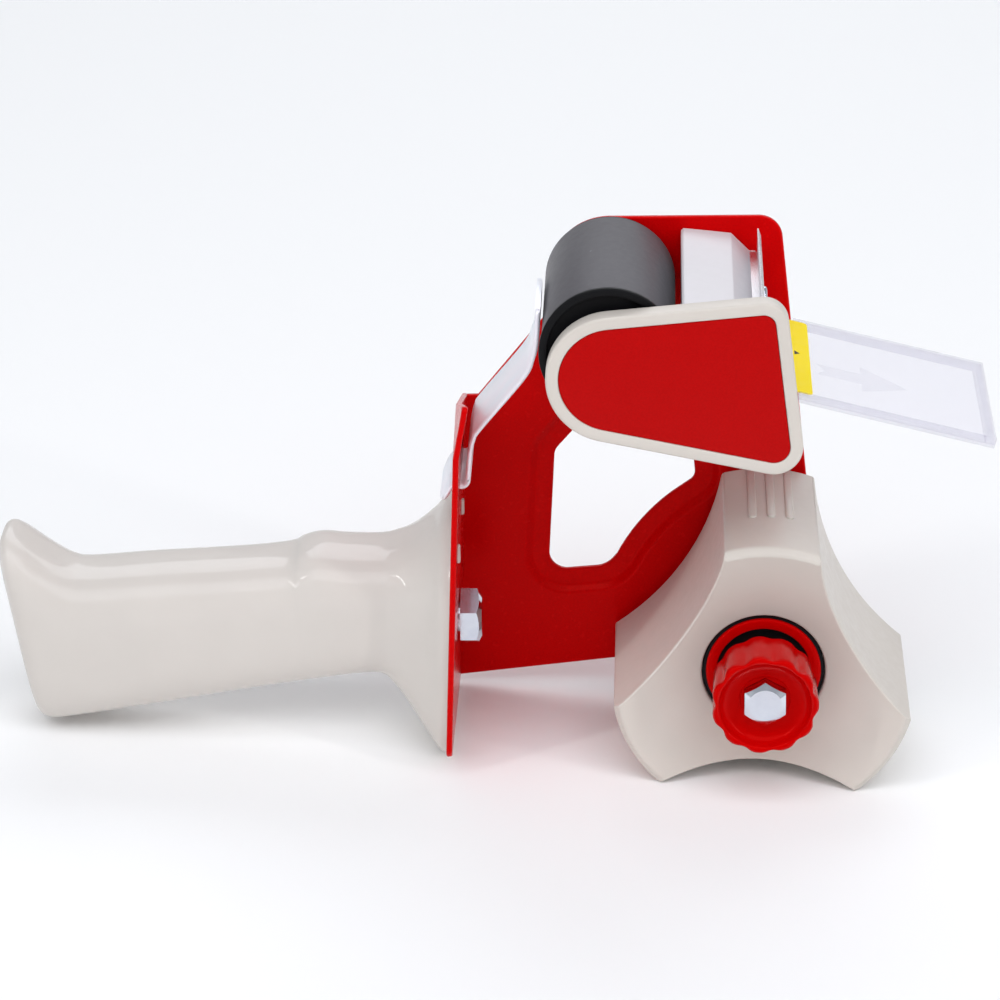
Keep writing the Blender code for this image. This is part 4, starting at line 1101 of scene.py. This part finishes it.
def guard_panel():
    """The painted panel, with its edge turned down a little."""
    outline = grown(guard_outline(), -PANEL_BORDER - PANEL_GAP)
    front = GUARD_FRONT + PANEL_SINK
    sections = eased(outline, front, 0.0002, 1.0)[::-1] + [(outline, front + PANEL_THICK)]
    piece("guard_cover", stack(at_depths(sections)), PANEL_PAINT, "panel_paint",
          replaces=["guard_panel"], smooth=60.0)


# ---- blade holder and blade


def blade_holder():
    profile = [
        (HOLDER_LEFT, HOLDER_BOTTOM), (HOLDER_STOP_LEFT, HOLDER_BOTTOM), (HOLDER_STOP_LEFT, HOLDER_STOP),
        (HOLDER_FACE, HOLDER_STOP), (HOLDER_FACE, HOLDER_LEDGE), (LEDGE_LEFT, HOLDER_LEDGE),
        (-0.0081, 0.1001), (HOLDER_LEFT + 0.0006, 0.1014), (HOLDER_LEFT, 0.1008),
    ]
    work = slab(profile, GUARD_BACK + GAP, PLATE_Y - GAP)
    # The holder is ivory plastic: its paler, cooler look is painted top light.
    piece("blade_block", work, IVORY_PAINTED_TOP_LIGHT, "ivory_plastic", replaces=["blade_holder"], smooth=20.0, edge=0.00028)


def cutting_blade():
    """The serrated blade, with square teeth ground to a slope, and its foot on the holder's ledge."""
    pitch = 2.0 * BLADE_HALF / BLADE_TEETH
    tip, valley = BLADE_TOP, BLADE_TOP - BLADE_TOOTH
    rows = []
    for i in range(BLADE_TEETH):
        start = BLADE_HALF - i * pitch
        for share, top in ((0.0, valley), (0.35, valley), (0.50, tip), (0.85, tip)):
            rows.append((start - share * pitch, top))
    rows.append((-BLADE_HALF, valley))
    inner, outer = HOLDER_FACE + GAP, HOLDER_FACE + GAP + BLADE_THICK
    edge = inner + BLADE_THICK * 0.35
    ground = BLADE_TOP - 1.8 * BLADE_TOOTH
    sections = []
    for y, top in rows:
        section = [(inner, BLADE_BOTTOM), (outer, BLADE_BOTTOM), (outer, ground), (edge, top), (inner, top)]
        sections.append((section, y))
    blade = stack(at_depths(sections))
    piece("serrated_blade", blade, STEEL, "blade_steel", replaces=["cutting_blade"], smooth=15.0)
    low = HOLDER_LEDGE + 0.00005
    foot = oblong(LEDGE_LEFT, inner + 0.0001, low, low + 0.0005)
    piece("blade_foot", slab(foot, -BLADE_HALF, BLADE_HALF), STEEL, "blade_steel", smooth=15.0)


def small_screws():
    for i, y in enumerate(BLADE_SCREWS):
        work = pan_screw(0.0, SCREW_HEAD_R, 0.0012, SCREW_R, 0.0080)
        along_x(work, HOLDER_FACE + 2.0 * GAP + BLADE_THICK, y, BLADE_SCREW_Z)
        piece(f"blade_pan_screw_{i + 1}", work, ZINC, "zinc_plate",
              replaces=[f"blade_screw_{i + 1}"], smooth=30.0)
    for i, (x, z) in enumerate(HOLDER_SCREWS):
        work = pan_screw(PLATE_BACK + GAP, SCREW_HEAD_R, SCREW_HEAD, SCREW_R, SCREW_LENGTH)
        bmesh.ops.translate(work, vec=(x, 0.0, z), verts=work.verts)
        piece(f"holder_pan_screw_{i + 1}", work, ZINC, "zinc_plate",
              replaces=[f"holder_screw_{i + 1}"], smooth=30.0)


# ---- flap


def on_flap(name, work, look, slot="clear_plastic", **more):
    piece(name, work, look, slot, "flap", FLAP_SPACE, **more)


def guard_flap():
    """The clear flap, with a faint arrow moulded on it and its sticker."""
    half, end = FLAP_HALF_WIDTH, FLAP_LENGTH
    flap = slab(flap_section(), -half, half)
    on_flap("clear_flap", flap, CLEAR, replaces=["guard_flap"], smooth=25.0, edge=0.0002)
    start, ledge, stop = FLAP_BARREL_R + 0.003, half - FLAP_SIDE_RIM, end - FLAP_END_RIM
    rim = [(start, -half), (end, -half), (end, half), (start, half)]
    rim += [(start, ledge), (stop, ledge), (stop, -ledge), (start, -ledge)]
    low = FLAP_TOP - FLAP_THICK - FLAP_SKIRT
    raised = flat_shape(rim, low, FLAP_TOP + FLAP_RIM - low)
    # The rim's darker violet is painted shade for the refraction lines along the clear edges.
    on_flap("flap_rim", raised, CLEAR_RIM_PAINTED_SHADE, smooth=25.0, edge=0.0002)
    arrow = [(0.0105, -0.0080), (0.0215, -0.0080), (0.0215, -0.0125), (0.0330, -0.0050)]
    arrow += [(0.0215, 0.0025), (0.0215, -0.0020), (0.0105, -0.0020), (0.0125, -0.0050)]
    on_flap("flap_arrow", flat_shape(arrow, FLAP_TOP + 0.00002, 0.00015), CLEAR_MARK, smooth=40.0)
    low = FLAP_TOP + LABEL_GAP
    corners = [(LABEL_START, -LABEL_HALF, 0.0003), (LABEL_END, -LABEL_HALF, 0.0012)]
    corners += [(LABEL_END, LABEL_HALF, 0.0012), (LABEL_START, LABEL_HALF, 0.0003)]
    sticker = flat_shape(filleted(corners, 15.0), low, LABEL_THICK)
    on_flap("label_film", sticker, YELLOW, "yellow_label", replaces=["flap_label"], smooth=40.0)
    mark = [(0.0050, 0.0006), (0.0063, 0.0018), (0.0050, 0.0030)]
    sign = flat_shape(mark, low + LABEL_THICK, 0.00004)
    on_flap("label_triangle", sign, PRINT, "yellow_label", smooth=40.0)


def flap_section():
    """The flap's section along its length: its barrel, heel and sheet."""
    top, bottom = FLAP_TOP, FLAP_TOP - FLAP_THICK
    heel, end = FLAP_HEEL_THICK / 2.0, FLAP_LENGTH - 0.0001
    from_heel = math.degrees(math.asin(heel / FLAP_BARREL_R))
    to_top = math.degrees(math.asin(top / FLAP_BARREL_R))
    to_bottom = math.degrees(math.asin(bottom / FLAP_BARREL_R))
    over = arc(0.0, 0.0, FLAP_BARREL_R, 180.0 - from_heel, to_top, 16)
    under = arc(0.0, 0.0, FLAP_BARREL_R, to_bottom, from_heel - 180.0, 16)
    return [(-FLAP_HEEL, -heel), (-FLAP_HEEL, heel), *over, (end, top), (end, bottom), *under]


def flat_shape(outline, low, thick):
    """A thin shape lying in the flap's plane: its outline is in X and Y."""
    return stack([[(x, y, z) for x, y in outline] for z in (low, low + thick)])


# ---- tape hub


def hub_outline():
    """Three arms with round ends, joined by hollow sides."""
    radius, waist, half = HUB_R, HUB_WAIST, HUB_ARM_HALF
    arc_steps, side_steps = 22, 36
    middle = math.radians(60.0)
    chord = radius * math.sin(middle - half)
    level = radius * math.cos(middle - half)
    sagitta = level - waist
    side_r = (chord * chord + sagitta * sagitta) / (2.0 * sagitta)
    side_half = math.asin(chord / side_r)
    points = []
    for arm in range(3):
        axis = math.radians(90.0 + 120.0 * arm)
        for i in range(arc_steps + 1):
            angle = axis - half + 2.0 * half * i / arc_steps
            points.append((radius * math.cos(angle), radius * math.sin(angle)))
        outwards = axis + middle
        for i in range(1, side_steps):
            turn = side_half * (2.0 * i / side_steps - 1.0)
            along = waist + side_r - side_r * math.cos(turn)
            across = side_r * math.sin(turn)
            x = along * math.cos(outwards) - across * math.sin(outwards)
            z = along * math.sin(outwards) + across * math.cos(outwards)
            points.append((x, z))
    return points


def dished(points, drop=0.0):
    """The hub's front face: furthest forward at the arms' tips, deepest at the middle."""
    slope = (HUB_HALF_LENGTH + HUB_DISH_Y) / (HUB_R - HUB_TIP_CHAMFER - HUB_SEAT_R)
    ring = []
    for x, z in points:
        reach = min(math.hypot(x, z), HUB_R - HUB_TIP_CHAMFER) - HUB_SEAT_R
        ring.append((x, HUB_DISH_Y - slope * reach + drop, z))
    return ring


def toward(points, radius, share):
    """The points drawn towards a circle about the axis."""
    moved = []
    for x, z in points:
        reach = math.hypot(x, z)
        length = reach + (radius - reach) * share
        moved.append((x * length / reach, z * length / reach))
    return moved


def soften_outside(work, count, rings):
    """Marks the sharp edges of a stack's outside to be rounded, except those in its first ring."""
    weight = work.edges.layers.float.new("bevel_weight_edge")
    work.verts.index_update()
    work.normal_update()
    for edge in work.edges:
        if edge.calc_face_angle(0.0) < math.radians(HUB_SHARP):
            continue
        last = max(vert.index for vert in edge.verts)
        outside = count <= last < rings * count
        edge[weight] = float(outside)
        edge.smooth = outside


def tape_hub():
    """The hollow hub: dished in front, open at the back, with ribs along its arms."""
    outer = hub_outline()
    tips = []
    for x, z in outer:
        reach = math.hypot(x, z)
        drawn = HUB_TIP_CHAMFER if reach > HUB_R - 1e-6 else 0.0
        tips.append((x * (1.0 - drawn / reach), z * (1.0 - drawn / reach)))
    inner = grown(outer, -HUB_WALL)
    back = HUB_HALF_LENGTH
    bore = SLEEVE_R + GAP
    shoulder = []
    for x, y, z in dished(outer):
        at_tip = math.hypot(x, z) > HUB_R - 1e-6
        shoulder.append((x, y + HUB_TIP_CHAMFER * at_tip, z))
    rings = [[(x, back, z) for x, z in outer], shoulder, dished(tips)]
    rings += [dished(toward(tips, HUB_SEAT_R, share)) for share in (0.25, 0.5, 0.75, 1.0)]
    seat = toward(tips, HUB_SEAT_R, 1.0)
    hole = toward(tips, bore, 1.0)
    post = toward(tips, bore + HUB_WALL, 1.0)
    socket = toward(tips, HUB_SEAT_R + HUB_WALL, 1.0)
    post_end, behind_seat = back - HUB_POST_DROP, HUB_SEAT_Y + HUB_WALL
    rings += at_depths([(seat, HUB_SEAT_Y), (hole, HUB_SEAT_Y), (hole, post_end), (post, post_end)])
    rings += at_depths([(post, behind_seat), (socket, behind_seat)])
    rings.append(dished(inner, HUB_WALL + HUB_FRONT_EXTRA))
    rings.append([(x, back, z) for x, z in inner])
    shell = stack(rings, closed=True)
    soften_outside(shell, len(outer), HUB_OUTSIDE_RINGS)
    piece("hub_shell", shell, IVORY, "ivory_plastic", "hub", HUB_SPACE,
          replaces=["tape_hub"], smooth=HUB_SHARP, edge=HUB_EDGE)
    for arm in range(3):
        for k in (-1, 0, 1):
            angle = 120.0 * arm + math.degrees(k * RIB_PITCH / HUB_R)
            hub_rib(f"hub_rib_{arm + 1}_{k + 2}", math.radians(angle))


def hub_rib(name, angle):
    """A low rib along an arm, with a round end, at an angle from straight up."""
    half = RIB_WIDTH / 2.0
    far = HUB_HALF_LENGTH - RIB_BACK
    outline = [(half, far), (-half, far)] + arc(0.0, RIB_FRONT + half, half, 180.0, 360.0, 10)
    crown = ((0.0, -RIB_ROOT), (0.0, RIB_RISE * 0.4), (0.00012, RIB_RISE * 0.8), (0.0003, RIB_RISE))
    rings = []
    for inset, rise in crown:
        drawn = grown(outline, -inset)
        rings.append([(x, y, math.sqrt(HUB_R**2 - x * x) + rise) for x, y in drawn])
    space = HUB_SPACE @ Matrix.Rotation(-angle, 4, "Y")
    piece(name, stack(rings), IVORY, "ivory_plastic", "hub", space, smooth=50.0)


# ---- axle, disc, spring and knob


def brake_disc():
    """The red ring that presses on the hub, and the sunk middle it sits in, coloured black as painted shade.
    """
    bore, back = BOLT_R + GAP, HUB_SEAT_Y - GAP
    corners = oblong(DISC_HOLE_R, DISC_R, DISC_FRONT, back)
    profile = rounded_profile(corners, [0.0003, 0.0006, 0.0002, 0.0])
    piece("friction_disc", turned(profile, 120), RED_PLASTIC, "red_plastic", replaces=["brake_disc"])
    # The middle's black is painted shade: it stands for the dark gap between the knob and the disc, not a
    # black part.
    floor, step = DISC_FRONT + 0.0024, DISC_FRONT + 0.0009
    corners = [(bore, DISC_FRONT), (0.0080, DISC_FRONT), (0.0080, floor), (DISC_HOLE_R + 0.0004, floor)]
    corners += [(DISC_HOLE_R + 0.0004, step), (DISC_CORE_R, step), (DISC_CORE_R, back), (bore, back)]
    core = turned(rounded_profile(corners, [0.0, 0.0003, 0.0, 0.0, 0.0, 0.0002, 0.0, 0.0]), 96)
    piece("disc_core_painted_shade", core, BLACK, "black_plastic")


def tension_spring():
    """The compression spring, whose coils close up between the washer and the disc."""
    steps_per_turn, sides = 40, 12
    near = KNOB_BACK + WASHER_THICK + 2.0 * GAP + SPRING_WIRE
    far = DISC_FRONT - GAP - SPRING_WIRE
    count = int(steps_per_turn * SPRING_TURNS)
    along = Vector((0.0, 1.0, 0.0))
    rings = []
    for i in range(count + 1):
        share = i / count
        angle = 2.0 * math.pi * SPRING_TURNS * share
        outwards = Vector((math.cos(angle), 0.0, math.sin(angle)))
        centre = outwards * SPRING_R + along * (near + (far - near) * share)
        ring = []
        for turn in round_angles(sides):
            ring.append(centre + (outwards * math.cos(turn) + along * math.sin(turn)) * SPRING_WIRE)
        rings.append(ring)
    made = piece("tension_coil", stack(rings), ZINC, "zinc_plate", "washer", replaces=["tension_spring"])
    made.parent = None
    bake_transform(made)


def spring_washer():
    near = KNOB_BACK + GAP
    corners = oblong(BOLT_R + GAP, WASHER_R, near, near + WASHER_THICK)
    profile = rounded_profile(corners, 0.0002)
    piece("knob_washer", turned(profile, 96), ZINC, "zinc_plate", "washer", replaces=["spring_washer"])


def scallops(radius, depth):
    """A round outline with shallow hollows between its lobes."""
    points = []
    for angle in round_angles(KNOB_STEPS):
        reach = radius - depth * (0.5 - 0.5 * math.cos(KNOB_LOBES * angle)) ** 1.6
        points.append((reach * math.cos(angle), reach * math.sin(angle)))
    return points


def tension_knob():
    """The cupped knob: scalloped outside, with a collar round the hexagon pocket."""
    front, back, skirt = KNOB_FRONT, KNOB_BACK, KNOB_SKIRT
    floor = BOLT_HEAD_FRONT + BOLT_HEAD_HEIGHT
    cup = floor - 0.0005
    sections = [(0.0040, 0.0, back), (KNOB_ROOM_R, 0.0, back), (KNOB_ROOM_R, 0.0, skirt)]
    sections += [(KNOB_R - 0.0009, 0.45, skirt), (KNOB_R - 0.0005, 0.55, skirt - 0.0003)]
    sections += [(KNOB_R - 0.0003, 0.60, skirt - 0.0010), (KNOB_R - 0.0002, 0.60, front + 0.0050)]
    sections += [(KNOB_R - 0.0001, 0.85, front + 0.0030), (KNOB_R, 1.0, front + 0.0018)]
    for i in range(1, 8):
        angle = math.radians(22.5 * i)
        reach = KNOB_R - KNOB_LIP * (1.0 - math.cos(angle))
        sections.append((reach, 1.0 - 0.14 * i, front + KNOB_LIP * (1.0 - math.sin(angle))))
    for i in range(1, 13):
        angle = math.radians(90.0 * i / 12)
        reach = KNOB_BOWL_R + (KNOB_R - 2.0 * KNOB_LIP - KNOB_BOWL_R) * math.cos(angle)
        sections.append((reach, 0.0, front + KNOB_LIP + (cup - front - KNOB_LIP) * math.sin(angle)))
    sections += [(0.0063, 0.0, cup), (0.0062, 0.0, cup - 0.0002), (0.0061, 0.0, cup - 0.0002)]
    sections += [(0.0060, 0.0, cup)]
    rings = at_depths([(scallops(reach, KNOB_VALLEY * share), y) for reach, share, y in sections])
    flats = M6_FLATS + 0.5 * GAP
    rings += [pocket_ring(flats, cup), pocket_ring(flats, floor)]
    bore = BOLT_R + GAP
    rings += at_depths([(scallops(bore, 0.0), floor), (scallops(bore, 0.0), back)])
    piece("knob_shell", stack(rings, closed=True), RED_PLASTIC, "red_plastic", "knob",
          replaces=["tension_knob"], smooth=40.0)


def pocket_ring(flats, y):
    """A hexagon with a corner straight up, with as many points as the knob's rings."""
    ring = []
    for angle in round_angles(KNOB_STEPS):
        reach = hex_reach(flats, angle)
        ring.append((reach * math.cos(angle), y, reach * math.sin(angle)))
    return ring


def tension_bolt():
    """The bolt that the knob turns, with its threaded end past the nut."""
    head_back = BOLT_HEAD_FRONT + BOLT_HEAD_HEIGHT - GAP
    thread_start = PLATE_BACK - 0.006
    head = head_back - BOLT_HEAD_FRONT
    work = hex_bolt(M6_FLATS, BOLT_HEAD_FRONT, head, BOLT_R, thread_start - head_back)
    piece("tension_hex_bolt", work, ZINC, "zinc_plate", "knob", replaces=["tension_bolt"], smooth=25.0)
    threads = thread(BOLT_R - 0.00005, M6_PITCH, thread_start - 0.0005, PLATE_BACK + 0.0085)
    piece("tension_thread", threads, ZINC, "zinc_plate", "knob", smooth=35.0)


def axle_nut():
    near = PLATE_BACK + GAP
    work = hex_nut(M6_FLATS, near, M6_NUT_HEIGHT, BOLT_R + GAP / 2.0)
    piece("welded_nut", placed(work, 30.0, "Y"), ZINC, "zinc_plate", replaces=["axle_nut"], smooth=25.0)


def hidden_pieces():
    """What lies inside, or under the panel, keeps the CAD's shape."""
    keep("handle_nut", ZINC)
    keep("axle_sleeve", ZINC)
    keep("flap_pin", ZINC)
    for i in range(3):
        keep(f"guard_screw_{i + 1}", ZINC)


# ---- the whole scene


def build():
    """Makes the scene, in the order that the pieces go together."""
    photo_camera()
    studio()
    side_frame()
    handle_grip()
    handle_bolt()
    brake_strap()
    roller()
    roller_axle()
    side_guard()
    guard_panel()
    blade_holder()
    cutting_blade()
    small_screws()
    guard_flap()
    tape_hub()
    brake_disc()
    tension_spring()
    spring_washer()
    tension_knob()
    tension_bolt()
    axle_nut()
    hidden_pieces()


build()
